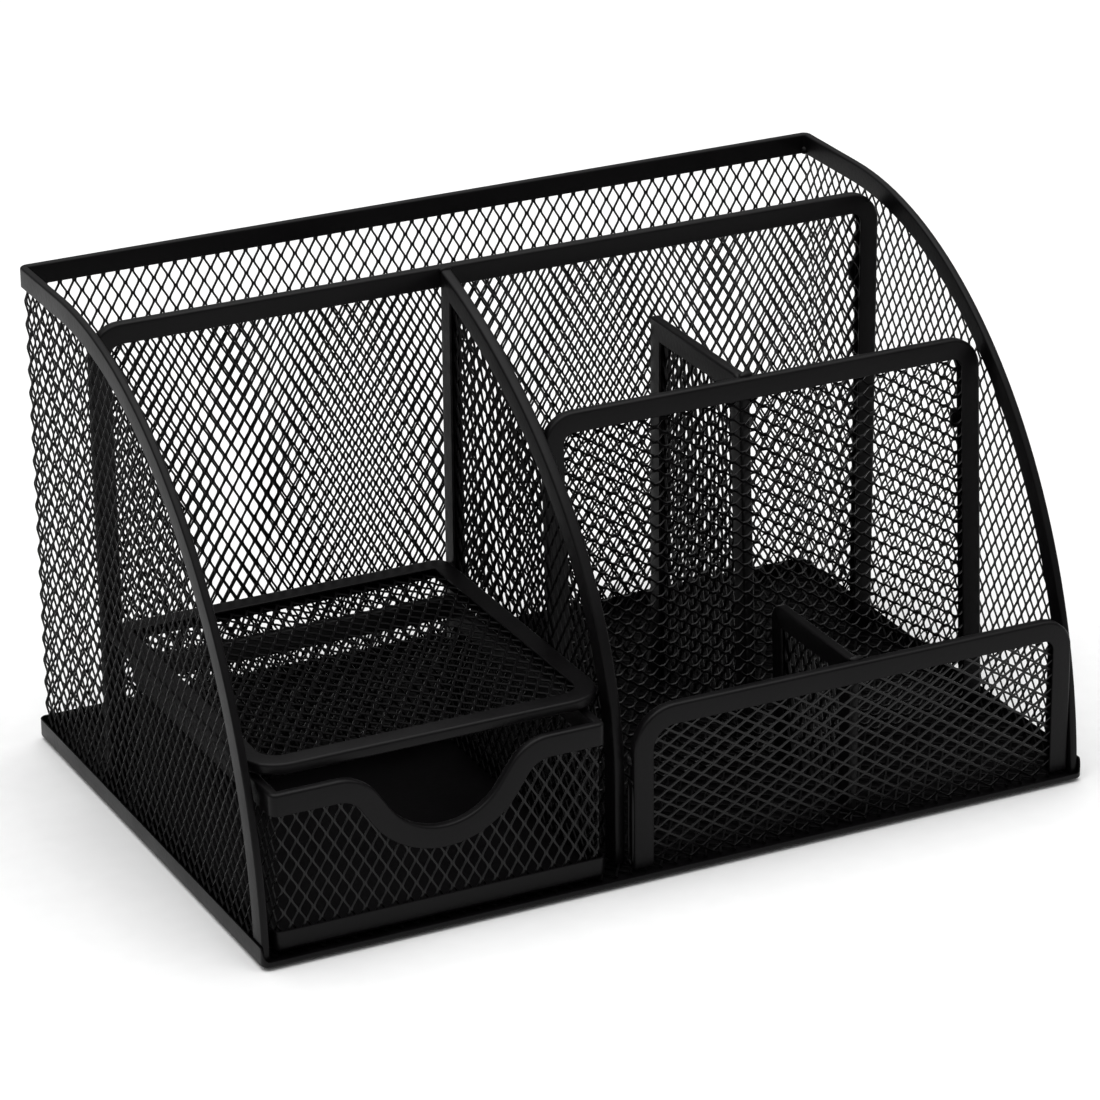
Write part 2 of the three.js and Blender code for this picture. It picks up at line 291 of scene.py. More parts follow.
@dataclass(frozen=True)
class Backdrop:
    """Matte white card that the organizer stands on."""

    name: str = "backdrop_card_white"
    colour: str = "#f7f7f7"
    shaded: str = "#f4f4f4"
    roughness: float = 0.9
    fibre_mm: float = 6.0
    tint_stops: tuple[float, float] = (0.2, 0.8)

    def material(self) -> bpy.types.Material:
        """Builds the node material.

        Returns:
            The material, with its fibres scaled from their size in millimetres.
        """
        made = bpy.data.materials.new(self.name)
        tree = empty_tree(made)
        place = add_node(tree, "ShaderNodeTexCoord").outputs["Object"]
        scale = 1 / (self.fibre_mm * MM)
        fibre = add_node(tree, "ShaderNodeTexNoise", {"Vector": place, "Scale": scale})
        tint = add_node(tree, "ShaderNodeValToRGB", {"Fac": fibre.outputs["Fac"]})
        ramp(tint, linear(self.shaded), linear(self.colour), *self.tint_stops)
        card = add_node(
            tree,
            "ShaderNodeBsdfPrincipled",
            {"Base Color": tint.outputs["Color"], "Roughness": self.roughness},
        )
        add_node(tree, "ShaderNodeOutputMaterial", {"Surface": card.outputs["BSDF"]})
        return made


# ---- Making pieces -------------------------------------------------------------------------------


@dataclass(frozen=True)
class Paint:
    """A finished material with the record slot that it stands for."""

    material: bpy.types.Material
    slot: Slot


def link_object(name: str, data: bpy.types.ID) -> bpy.types.Object:
    """Makes an object of a mesh, a lamp or a lens, and links it to the scene."""
    made = bpy.data.objects.new(name, data)
    bpy.context.scene.collection.objects.link(made)
    return made


def mesh_of(name: str, points: Points, faces: Faces, outward: bool = True) -> bpy.types.Object:
    """Makes a mesh object from points in millimetres and links it to the scene.

    Args:
        name: Name of the object and its mesh.
        points: One row for each vertex.
        faces: Vertex numbers of each face.
        outward: Whether to turn all faces to point out of the closed surface.

    Returns:
        The new object, at the origin.
    """
    mesh = bpy.data.meshes.new(name)
    mesh.from_pydata((points * MM).tolist(), [], faces)
    if outward:
        work = bmesh.new()
        work.from_mesh(mesh)
        bmesh.ops.recalc_face_normals(work, faces=work.faces)
        work.to_mesh(mesh)
        work.free()
    return link_object(name, mesh)


def soften(made: bpy.types.Object, angle: float = 35.0) -> None:
    """Shades a piece smooth, but for edges that turn by more than the angle.

    Args:
        made: The piece.
        angle: The angle in degrees.
    """
    mesh = made.data
    mesh.polygons.foreach_set("use_smooth", [True] * len(mesh.polygons))
    mesh.set_sharp_from_angle(angle=math.radians(angle))


def finish_piece(made: bpy.types.Object, paint: Paint, body: Body, *nodes: str) -> bpy.types.Object:
    """Paints a piece and joins it to its body.

    Args:
        made: The piece.
        paint: Its finish.
        body: What it rides on.
        nodes: The plain nodes that it stands for.

    Returns:
        The same piece.
    """
    made.data.materials.append(paint.material)
    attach(made, body.value)
    if nodes:
        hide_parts(*nodes)
    log.info("%s: %d faces on %s", made.name, len(made.data.polygons), body.value)
    return made


def box_of(node: str) -> tuple[Points, Points]:
    """Gives a node's lowest and highest corners in millimetres.

    Args:
        node: The node's name.

    Returns:
        Two rows of x, y and z.
    """
    low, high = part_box(node)
    return np.array(low) / MM, np.array(high) / MM


def skin_loops(loops: Sequence[Points], capped: bool = True) -> tuple[Points, Faces]:
    """Joins closed loops of points into a skin, each loop to the next.

    Args:
        loops: Loops with the same number of points.
        capped: Whether the first and last loops are filled.

    Returns:
        All points, and the faces.
    """
    count = len(loops[0])
    faces: Faces = []
    for row in range(len(loops) - 1):
        for i in range(count):
            near, far = row * count + i, row * count + (i + 1) % count
            faces.append((near, far, far + count, near + count))
    if capped:
        faces.append(tuple(range(count - 1, -1, -1)))
        faces.append(tuple(range((len(loops) - 1) * count, len(loops) * count)))
    return np.concatenate(loops), faces


# ---- Where sheets and channels lie ---------------------------------------------------------------


@dataclass(frozen=True)
class FlatPlane:
    """A plane that a flat sheet is laid out on: u runs along it, v up it and n out of it."""

    origin: Place
    along: Place
    up: Place

    @property
    def normal(self) -> Points:
        """The way that n runs."""
        return np.cross(self.along, self.up)

    def place(self, u: Points, v: Points, n: Points) -> Points:
        """Turns places on the sheet to places in the frame.

        Args:
            u: Distance along the sheet.
            v: Distance up it.
            n: Distance out of it.

        Returns:
            One row of x, y and z for each place.
        """
        along, up = np.array(self.along, float), np.array(self.up, float)
        return np.array(self.origin) + u[:, None] * along + v[:, None] * up + n[:, None] * self.normal


def front_plane(y: float) -> FlatPlane:
    """A plane that faces the front, at y."""
    return FlatPlane((0, y, 0), (1, 0, 0), (0, 0, 1))


def side_plane(x: float) -> FlatPlane:
    """A plane that faces the right, at x."""
    return FlatPlane((x, 0, 0), (0, 1, 0), (0, 0, 1))


def level_plane(z: float) -> FlatPlane:
    """A plane that faces up, at z."""
    return FlatPlane((0, 0, z), (1, 0, 0), (0, 1, 0))


class BentPlane:
    """A standing sheet bent round corners: u runs along its path from above, v up it and n to the inside."""

    def __init__(self, path: Sequence[tuple]) -> None:
        """Lays the sheet out along its path.

        Args:
            path: Rows of x, y and bend radius, going clockwise.
        """
        track = rounded_path(path, 0.0, False)
        step = np.diff(track, axis=0)
        long = np.hypot(step[:, 0], step[:, 1])
        self.track = track
        self.length = np.concatenate([[0.0], np.cumsum(long)])
        self.middle = (self.length[:-1] + self.length[1:]) / 2
        self.inward = np.stack([step[:, 1], -step[:, 0]], axis=1) / long[:, None]

    def at(self, u: Points) -> Points:
        """Gives x and y at each length along the path."""
        return np.stack([np.interp(u, self.length, self.track[:, k]) for k in (0, 1)], axis=-1)

    def place(self, u: Points, v: Points, n: Points) -> Points:
        """Turns places on the sheet to places in the frame.

        Args:
            u: Distance along the path.
            v: Height.
            n: Distance to the inside.

        Returns:
            One row of x, y and z for each place.
        """
        inward = np.stack([np.interp(u, self.middle, self.inward[:, k]) for k in (0, 1)], axis=-1)
        inward /= np.linalg.norm(inward, axis=1)[:, None]
        return np.column_stack([self.at(u) + n[:, None] * inward, v])


def rounded_path(corners: Sequence[tuple], inset: float, closed: bool, steps: int = 10) -> Points:
    """Rounds the corners of a clockwise path that is drawn in by an inset.

    Args:
        corners: Rows of u, v and radius.
        inset: How far the path moves to its inside.
        closed: Whether it runs back to its start.
        steps: Straight steps in each rounded corner.

    Returns:
        The path's points, always the same number for the same corners.
    """
    spots = np.array([corner[:2] for corner in corners], float)
    count = len(spots)
    ahead = np.roll(spots, -1, axis=0) - spots
    ahead /= np.linalg.norm(ahead, axis=1)[:, None]
    inward = np.stack([ahead[:, 1], -ahead[:, 0]], axis=1)
    path = []
    for i in range(count):
        before, after = inward[i - 1], inward[i]
        if not closed and i in (0, count - 1):
            path.append(spots[i] + inset * (after if i == 0 else before))
            continue
        share = (before + after) / (1 + before @ after)
        corner = spots[i] + inset * share
        radius = corners[i][2]
        if radius <= 0:
            path.append(corner)
            continue
        radius = max(radius - inset, SMALLEST_BEND)
        centre = corner + radius * share
        start = math.atan2(-before[1], -before[0])
        turn = math.acos(float(np.clip(before @ after, -1, 1)))
        for angle in np.linspace(start, start - turn, steps + 1):
            path.append(centre + radius * np.array([math.cos(angle), math.sin(angle)]))
    return np.array(path)


def edge_path(corners: Sequence[tuple], closed: bool = False) -> Callable[[float], Points]:
    """Turns corners to an edge that can be drawn in by any inset.

    Args:
        corners: Rows of u, v and radius, going clockwise.
        closed: Whether the edge runs back to its start.

    Returns:
        The function that gives the edge's points for an inset.
    """

    def path(inset: float) -> Points:
        """Gives the edge's points, drawn in by the inset."""
        return rounded_path(corners, inset, closed)

    return path


def box_corners(low: Points, high: Points, front: float, rear: float) -> list[tuple]:
    """Lists a box's four corners from above, clockwise from the left front one.

    Args:
        low: The box's lowest corner.
        high: Its highest corner.
        front: Radius of both front corners.
        rear: Radius of both rear corners.

    Returns:
        Rows of x, y and radius.
    """
    return [
        (low[0], low[1], front),
        (low[0], high[1], rear),
        (high[0], high[1], rear),
        (high[0], low[1], front),
    ]


def chord(outline: Points, axis: int, at: float) -> Optional[tuple[float, float]]:
    """Finds where a straight line across an outline enters and leaves it.

    Args:
        outline: A closed outline of u and v.
        axis: The coordinate that is the same all along the line.
        at: Its value.

    Returns:
        The lowest and highest crossing, or None if the line misses the outline.
    """
    ends = np.roll(outline, -1, axis=0)
    near, far = outline[:, axis] - at, ends[:, axis] - at
    crossed = (near < 0) != (far < 0)
    if not crossed.any():
        return None
    share = near[crossed] / (near[crossed] - far[crossed])
    other = outline[crossed, 1 - axis]
    found = other + share * (ends[crossed, 1 - axis] - other)
    return float(found.min()), float(found.max())


# ---- Expanded mesh -------------------------------------------------------------------------------


@dataclass(frozen=True)
class ExpandedMesh:
    """Steel sheet slit and drawn out to diamonds.

    Each strand is one tilted ribbon that swings from its left neighbour to its right one. Two ribbons lie
    side by side at each bond, which is how the sheet was before it was slit.

    Attributes:
        short_pitch: Short diagonal of a diamond, from bond to bond.
        long_pitch: Its long diagonal.
        strand_width: Width of a ribbon.
        strand_thickness: Its thickness, which is the sheet's.
        tilt: How far a ribbon is turned out of the sheet.
        bond: Length of a bond.
        merge: The share of a ribbon's half width that runs into its neighbour at a bond.
        curl: How much of a ribbon's way is curved, from 0 for straight to 1.
        lean: Which way the ribbons tilt, 1 or -1.
        shift: Where a bond lies along the long way and across it.
        least_step: The least distance from a ribbon's end to its next ring of points.
    """

    short_pitch: float = 4.0
    long_pitch: float = 5.95
    strand_width: float = 0.56
    strand_thickness: float = 0.36
    tilt: float = math.radians(20)
    bond: float = 0.4
    merge: float = 0.35
    curl: float = 0.25
    lean: int = 1
    shift: tuple[float, float] = (0.0, 0.0)
    least_step: float = 0.05

    def swing(self, ribbon: int, p: Points) -> tuple[Points, Points]:
        """Gives a ribbon's middle at places along its long way.

        Args:
            ribbon: Number of the ribbon.
            p: Places along the long way.

        Returns:
            Where it is across the sheet, and out of it.
        """
        half_bond = self.bond / (2 * self.long_pitch)
        phase = np.mod(p / self.long_pitch - (ribbon % 2) / 2, 1.0)
        away = np.minimum(phase, 1 - phase)
        share = np.clip((away - half_bond) / (0.5 - 2 * half_bond), 0, 1)
        eased = share + self.curl * (share * share * (3 - 2 * share) - share)
        reach = self.strand_width / 2 * math.cos(self.tilt) * (1 - self.merge)
        across = ribbon * self.short_pitch / 2 + reach + eased * (self.short_pitch / 2 - 2 * reach)
        out = self.lean * self.strand_width / 2 * math.sin(self.tilt) * (1 - 2 * eased)
        return across, out

    def stops(self, low: float, high: float) -> Points:
        """Gives the places along a ribbon that have a ring of points.

        Args:
            low: Where the ribbon starts.
            high: Where it ends.

        Returns:
            Places along the long way, both ends among them.
        """
        half_bond = self.bond / (2 * self.long_pitch)
        gap = 0.5 - 2 * half_bond
        half = np.array([-half_bond, half_bond, half_bond + 0.25 * gap, half_bond + 0.75 * gap])
        each = np.concatenate([half, half + 0.5]) * self.long_pitch
        periods = np.arange(math.floor(low / self.long_pitch) - 1, math.ceil(high / self.long_pitch) + 2)
        inner = (periods[:, None] * self.long_pitch + each).ravel()
        inner = inner[(inner > low + self.least_step) & (inner < high - self.least_step)]
        return np.concatenate([[low], inner, [high]])

    def ribbons(self, outline: Points, long_way: LongWay, first: float, last: float) -> tuple[Points, Faces]:
        """Fills an outline with strands.

        Args:
            outline: The closed outline that the strands end on, in u and v.
            long_way: Which way the diamonds' long diagonal runs.
            first: Where the first ribbon may be, across the ribbons.
            last: Where the last one may be.

        Returns:
            Rows of u, v and n, and the faces.
        """
        turned, lifted = math.cos(self.tilt), self.lean * math.sin(self.tilt)
        wide = np.array([turned, lifted]) * self.strand_width / 2
        thick = np.array([-lifted, turned]) * self.strand_thickness / 2
        edges = [wide + thick, thick - wide, -wide - thick, wide - thick]
        along_shift, across_shift = self.shift
        points, faces, count = [], [], 0
        step = self.short_pitch / 2
        lowest = math.floor((first - across_shift) / step)
        highest = math.ceil((last - across_shift) / step)
        for ribbon in range(lowest, highest):
            middle = (ribbon + 0.5) * step + across_shift
            span = chord(outline, long_way.across, middle) if first <= middle <= last else None
            if span is None or span[1] - span[0] < SHORTEST_STRAND:
                continue
            p = self.stops(span[0] - along_shift, span[1] - along_shift)
            across, out = self.swing(ribbon, p)
            across, along = across + across_shift, p + along_shift
            rings = np.stack([np.stack([across + edge[0], along, out + edge[1]], 1) for edge in edges], 1)
            points.append(rings.reshape(-1, 3))
            starts = count + 4 * np.arange(len(p) - 1)
            for side in range(4):
                nearer, further = starts + side, starts + (side + 1) % 4
                faces.append(np.stack([nearer, further, further + 4, nearer + 4], 1))
            faces.append(np.array([[count + 3, count + 2, count + 1, count]]))
            end = count + 4 * (len(p) - 1)
            faces.append(np.array([[end, end + 1, end + 2, end + 3]]))
            count += 4 * len(p)
        rows, quads = np.concatenate(points), np.concatenate(faces)
        if long_way is LongWay.UP:
            return rows, quads[:, ::-1].tolist()
        return rows[:, [1, 0, 2]], quads.tolist()


def spread_map(made: bpy.types.Object) -> None:
    """Gives each face of a strand mesh its own square of the bake map.

    Args:
        made: The piece, all of four-sided faces.
    """
    mesh = made.data
    count = len(mesh.polygons)
    side = math.ceil(math.sqrt(count))
    cells = np.arange(count)
    low = np.stack([cells % side, cells // side], 1)
    near, far = 0.1, 0.9
    corner = np.array([(near, near), (far, near), (far, far), (near, far)])
    spots = (low[:, None, :] + corner[None]) / side
    layer = mesh.uv_layers.new(name=BAKE_MAP)
    layer.uv.foreach_set("vector", spots.astype(np.float32).ravel())


def weave_sheet(
    name: str,
    stock: ExpandedMesh,
    plane: FlatPlane | BentPlane,
    outline: Points,
    long_way: LongWay,
    ends: Optional[tuple[float, float]] = None,
) -> bpy.types.Object:
    """Makes one piece of expanded mesh.

    Args:
        name: Name of the piece.
        stock: The mesh that it is cut from.
        plane: Where it lies.
        outline: Its closed outline on that plane.
        long_way: Which way its diamonds run.
        ends: The stretch across the ribbons that the piece holds, or None for all of it.

    Returns:
        The new piece, not yet painted.
    """
    across = outline[:, long_way.across]
    first, last = ends or (across.min(), across.max())
    rows, faces = stock.ribbons(outline, long_way, first, last)
    made = mesh_of(name, plane.place(rows[:, 0], rows[:, 1], rows[:, 2]), faces, outward=False)
    spread_map(made)
    return made


# ---- Folded channel ------------------------------------------------------------------------------


@dataclass(frozen=True)
class Channel:
    """Thin steel strip folded to a U and closed over the edge of the mesh.

    Attributes:
        thickness: Outer thickness of the U.
        face: Its height, from its outer edge to its lips.
        wall: Thickness of the strip.
        edge_radius: Outer radius of each fold.
        lip_radius: How far the outer edge of each lip is cut.
        edge_steps: Steps in each fold.
    """

    thickness: float = 2.9
    face: float = 5.2
    wall: float = 0.5
    edge_radius: float = 0.75
    lip_radius: float = 0.15
    edge_steps: int = 4

    def profile(self) -> Points:
        """Gives the closed section.

        Returns:
            Rows of the distance in from the outer edge, and the distance out of the middle plane.
        """
        half, round_by, lip = self.thickness / 2, self.edge_radius, self.lip_radius
        angles = np.linspace(math.pi / 2, math.pi, self.edge_steps + 1)
        bend = np.stack([round_by * (1 + np.cos(angles)), half - round_by * (1 - np.sin(angles))], 1)
        lips = [(self.face, half - self.wall), (self.face, half - lip), (self.face - lip, half)]
        outside = np.concatenate([lips, bend])
        other = outside[::-1] * np.array([1, -1])
        inside = [(self.wall, self.wall - half), (self.wall, half - self.wall)]
        return np.concatenate([outside, other, inside])

    def sweep(self, middle: Callable[[float], Points], normals: Points, closed: bool) -> tuple[Points, Faces]:
        """Runs the section along an edge.

        Args:
            middle: Gives the edge's path in the frame, drawn in by an inset.
            normals: The sheet's normal at each point of the path.
            closed: Whether the path runs back to its start.

        Returns:
            All points, and the faces.
        """
        section = self.profile()
        rows = [middle(inset) + out * normals for inset, out in section]
        loops = [np.array([row[i] for row in rows]) for i in range(len(rows[0]))]
        if closed:
            loops.append(loops[0])
        points, faces = skin_loops(loops, capped=not closed)
        if closed:
            last = len(section) * (len(loops) - 1)
            faces = [tuple(i - last if i >= last else i for i in face) for face in faces]
            points = points[:last]
        return points, faces

    def on_plane(
        self, name: str, plane: FlatPlane, path: Callable[[float], Points], closed: bool = False
    ) -> bpy.types.Object:
        """Makes a channel that lies in one plane.

        Args:
            name: Name of the piece.
            plane: Where it lies.
            path: Gives its edge on that plane, drawn in by an inset.
            closed: Whether the edge runs back to its start.

        Returns:
            The new piece, not yet painted.
        """

        def middle(inset: float) -> Points:
            """Gives the edge's path in the frame, drawn in by the inset."""
            spots = path(inset)
            return plane.place(spots[:, 0], spots[:, 1], np.zeros(len(spots)))

        normals = np.tile(plane.normal, (len(path(0.0)), 1))
        made = mesh_of(name, *self.sweep(middle, normals, closed))
        soften(made)
        return made


# ---- Sub-assemblies ------------------------------------------------------------------------------


@dataclass
class Workshop:
    """The stock and paints that every sub-assembly is made of.

    Attributes:
        coat: Finish of the channels and of the folded sheets' outsides.
        shaded_coat: A duller, less shiny copy of the coat on the folded sheets' upward faces: painted shade
            inside the tray and the drawer.
        strands: Finish of the mesh.
        rubber: Finish of the feet.
        shell_mesh, rear_mesh, centre_mesh, mid_mesh, front_mesh, drawer_mesh: Stock of the sheets so named.
        steep_mesh: Stock of the shelf, the bay dividers and the floor.
        channel: The channel on all flat panels.
    """

    coat: Paint
    shaded_coat: Paint
    strands: Paint
    rubber: Paint
    shell_mesh: ExpandedMesh = field(
        default_factory=lambda: ExpandedMesh(3.795, 6.0, strand_thickness=0.46, bond=0.6, merge=0.1)
    )
    rear_mesh: ExpandedMesh = field(
        default_factory=lambda: ExpandedMesh(3.467, 5.96, bond=0.6, merge=0.1, lean=-1, shift=(1.22, 2.75))
    )
    centre_mesh: ExpandedMesh = field(
        default_factory=lambda: ExpandedMesh(strand_width=0.52, tilt=math.radians(25), lean=-1)
    )
    steep_mesh: ExpandedMesh = field(
        default_factory=lambda: ExpandedMesh(
            strand_width=0.62, strand_thickness=0.4, tilt=math.radians(38), merge=0.0, lean=-1
        )
    )
    mid_mesh: ExpandedMesh = field(
        default_factory=lambda: ExpandedMesh(
            3.655,
            6.0,
            strand_width=0.6,
            tilt=math.radians(36),
            bond=1.1,
            merge=0.0,
            curl=0.6,
            shift=(2.4, -2.49),
        )
    )
    front_mesh: ExpandedMesh = field(
        default_factory=lambda: ExpandedMesh(3.88, 5.95, strand_width=0.6, tilt=math.radians(10), bond=0.3)
    )
    drawer_mesh: ExpandedMesh = field(
        default_factory=lambda: ExpandedMesh(3.741, 5.95, strand_width=0.54, tilt=math.radians(15), bond=0.5)
    )
    channel: Channel = field(default_factory=Channel)


@dataclass
class Panel:
    """A flat sheet with channel round its edges."""

    name: str
    plane: FlatPlane
    path: Callable[[float], Points]
    stock: ExpandedMesh
    long_way: LongWay
    closed: bool = False
    channel_name: str = "rim"
    mesh_inset: float = 1.3

    def build(self, workshop: Workshop) -> None:
        """Makes the sheet and its channel.

        Args:
            workshop: The stock and paints.
        """
        rim = workshop.channel.on_plane(f"{self.name}_channel", self.plane, self.path, self.closed)
        finish_piece(rim, workshop.coat, Body.FRAME, f"{self.name}_{self.channel_name}")
        outline = self.path(self.mesh_inset)
        sheet = weave_sheet(f"{self.name}_diamonds", self.stock, self.plane, outline, self.long_way)
        finish_piece(sheet, workshop.strands, Body.FRAME, f"{self.name}_mesh")


def standing_path(
    left: float, right: float, foot: float, top: float, radii: tuple[float, float]
) -> Callable[[float], Points]:
    """Gives the edge of a panel that stands on its foot: up, over the top and down."""
    return edge_path([(left, foot, 0), (left, top, radii[0]), (right, top, radii[1]), (right, foot, 0)])


def loops_at(outline: Callable[[float], Points], rows: Sequence[tuple]) -> list[Points]:
    """Gives an outline seen from above at several insets and heights.

    Args:
        outline: Gives the outline's x and y, drawn in by an inset.
        rows: For each loop its inset, and its height or the height of each of its points.

    Returns:
        One loop of x, y and z for each row.
    """
    loops = []
    for inset, heights in rows:
        spots = outline(inset)
        loops.append(np.column_stack([spots, np.broadcast_to(heights, len(spots))]))
    return loops


def lower_bend(radius: float, floor: float, steps: int) -> list[tuple[float, float]]:
    """Gives the insets and heights of a rounded lower edge, from the underside up."""
    angles = np.linspace(0, math.pi / 2, steps + 1)
    return [(radius * (1 - math.sin(angle)), floor + radius * (1 - math.cos(angle))) for angle in angles]


def fold_sheet(workshop: Workshop, body: Body, node: str, loops: Sequence[Points]) -> None:
    """Makes a solid sheet with its walls folded up, with the duller coat on the faces that look up as painted
    shade.

    Args:
        workshop: The stock and paints.
        body: What it rides on.
        node: The plain node that it stands for.
        loops: Its skin, from its underside round its walls to its upper side.
    """
    sheet = mesh_of(f"{node}_folded", *skin_loops(loops))
    soften(sheet)
    sheet.data.materials.append(workshop.coat.material)
    finish_piece(sheet, workshop.shaded_coat, body, node)
    # Faces that look up get the duller coat, which paints the shade inside the tray and the drawer.
    up = [int(face.normal.z > LOOKS_UP) for face in sheet.data.polygons]
    sheet.data.polygons.foreach_set("material_index", up)


@dataclass
class Base:
    """Folded steel tray with its mesh floor and four rubber feet.

    Attributes:
        plate, flange: Thickness of the tray's plate and of its wall.
        hem_height: Height of the wall along the front.
        corner, corner_steps: Outer radius of the tray's corners, and the steps in each.
        bend, bend_steps: Outer radius of its lower fold, and the steps in it.
        foot_edge, foot_cut: How far a foot's lower edge is rounded, and how deep it is cut halfway round.
        foot_face: How far a foot's flat faces reach in from its side before they are filled.
        foot_steps: Points round a foot.
    """

    plate: float = 0.6
    flange: float = 0.4
    hem_height: float = 1.6
    corner: float = 2.0
    bend: float = 0.6
    bend_steps: int = 3
    corner_steps: int = 12
    foot_edge: float = 0.3
    foot_cut: float = 0.09
    foot_face: float = 1.2
    foot_steps: int = 48

    def outline(self, inset: float) -> Points:
        """Gives the tray's outline from above, drawn in by an inset."""
        corners = box_corners(*box_of("base_tray"), self.corner, self.corner)
        return rounded_path(corners, inset, True, self.corner_steps)

    def wall_tops(self) -> Points:
        """Gives the height of the tray's wall at each point of its outline.

        Returns:
            Heights: a full flange on three sides that rolls down to a low hem along the front.
        """
        low, high = box_of("base_tray")
        spots = self.outline(0.0)
        back = np.clip((spots[:, 1] - low[1]) / self.corner, 0, 1)
        share = back * back * (3 - 2 * back)
        return low[2] + self.hem_height + share * (high[2] - low[2] - self.hem_height)

    def build(self, workshop: Workshop) -> None:
        """Makes the tray, its floor and its feet.

        Args:
            workshop: The stock and paints.
        """
        under = box_of("base_tray")[0][2]
        tops, upper, lip = self.wall_tops(), under + self.plate, self.flange / 3
        rows = lower_bend(self.bend, under, self.bend_steps)
        rows += [(0.0, tops - lip), (lip, tops), (self.flange - lip, tops), (self.flange, tops - lip)]
        rows += [(self.flange, upper + lip), (self.flange + lip, upper)]
        fold_sheet(workshop, Body.FRAME, "base_tray", loops_at(self.outline, rows))
        self.floor(workshop)
        for end in ("front", "rear"):
            for side in ("left", "right"):
                self.foot(workshop, f"foot_{end}_{side}")

    def floor(self, workshop: Workshop) -> None:
        """Makes the mesh that lies in the tray."""
        low, high = box_of("floor_mesh")
        outline = np.array(box_corners(low, high, 0.0, 0.0))[:, :2]
        plane = level_plane((low[2] + high[2]) / 2)
        floor = weave_sheet("floor_diamonds", workshop.steep_mesh, plane, outline, LongWay.UP)
        finish_piece(floor, workshop.strands, Body.FRAME, "floor_mesh")

    def foot(self, workshop: Workshop, node: str) -> None:
        """Makes one rubber pad with soft edges.

        Args:
            workshop: The stock and paints.
            node: The plain node that it stands for.
        """
        low, high = box_of(node)
        middle, radius = (low + high) / 2, (high[0] - low[0]) / 2
        angles = np.linspace(0, 2 * math.pi, self.foot_steps, endpoint=False)
        ring = np.stack([np.cos(angles), np.sin(angles)], 1)
        section = [
            (radius - self.foot_face, low[2]),
            (radius - self.foot_edge, low[2]),
            (radius - self.foot_cut, low[2] + self.foot_cut),
            (radius, low[2] + self.foot_edge),
            (radius, high[2]),
            (radius - self.foot_face, high[2]),
        ]
        loops = [np.column_stack([middle[:2] + r * ring, np.full(len(ring), z)]) for r, z in section]
        pad = mesh_of(f"{node}_pad", *skin_loops(loops))
        soften(pad)
        finish_piece(pad, workshop.rubber, Body.FRAME, node)


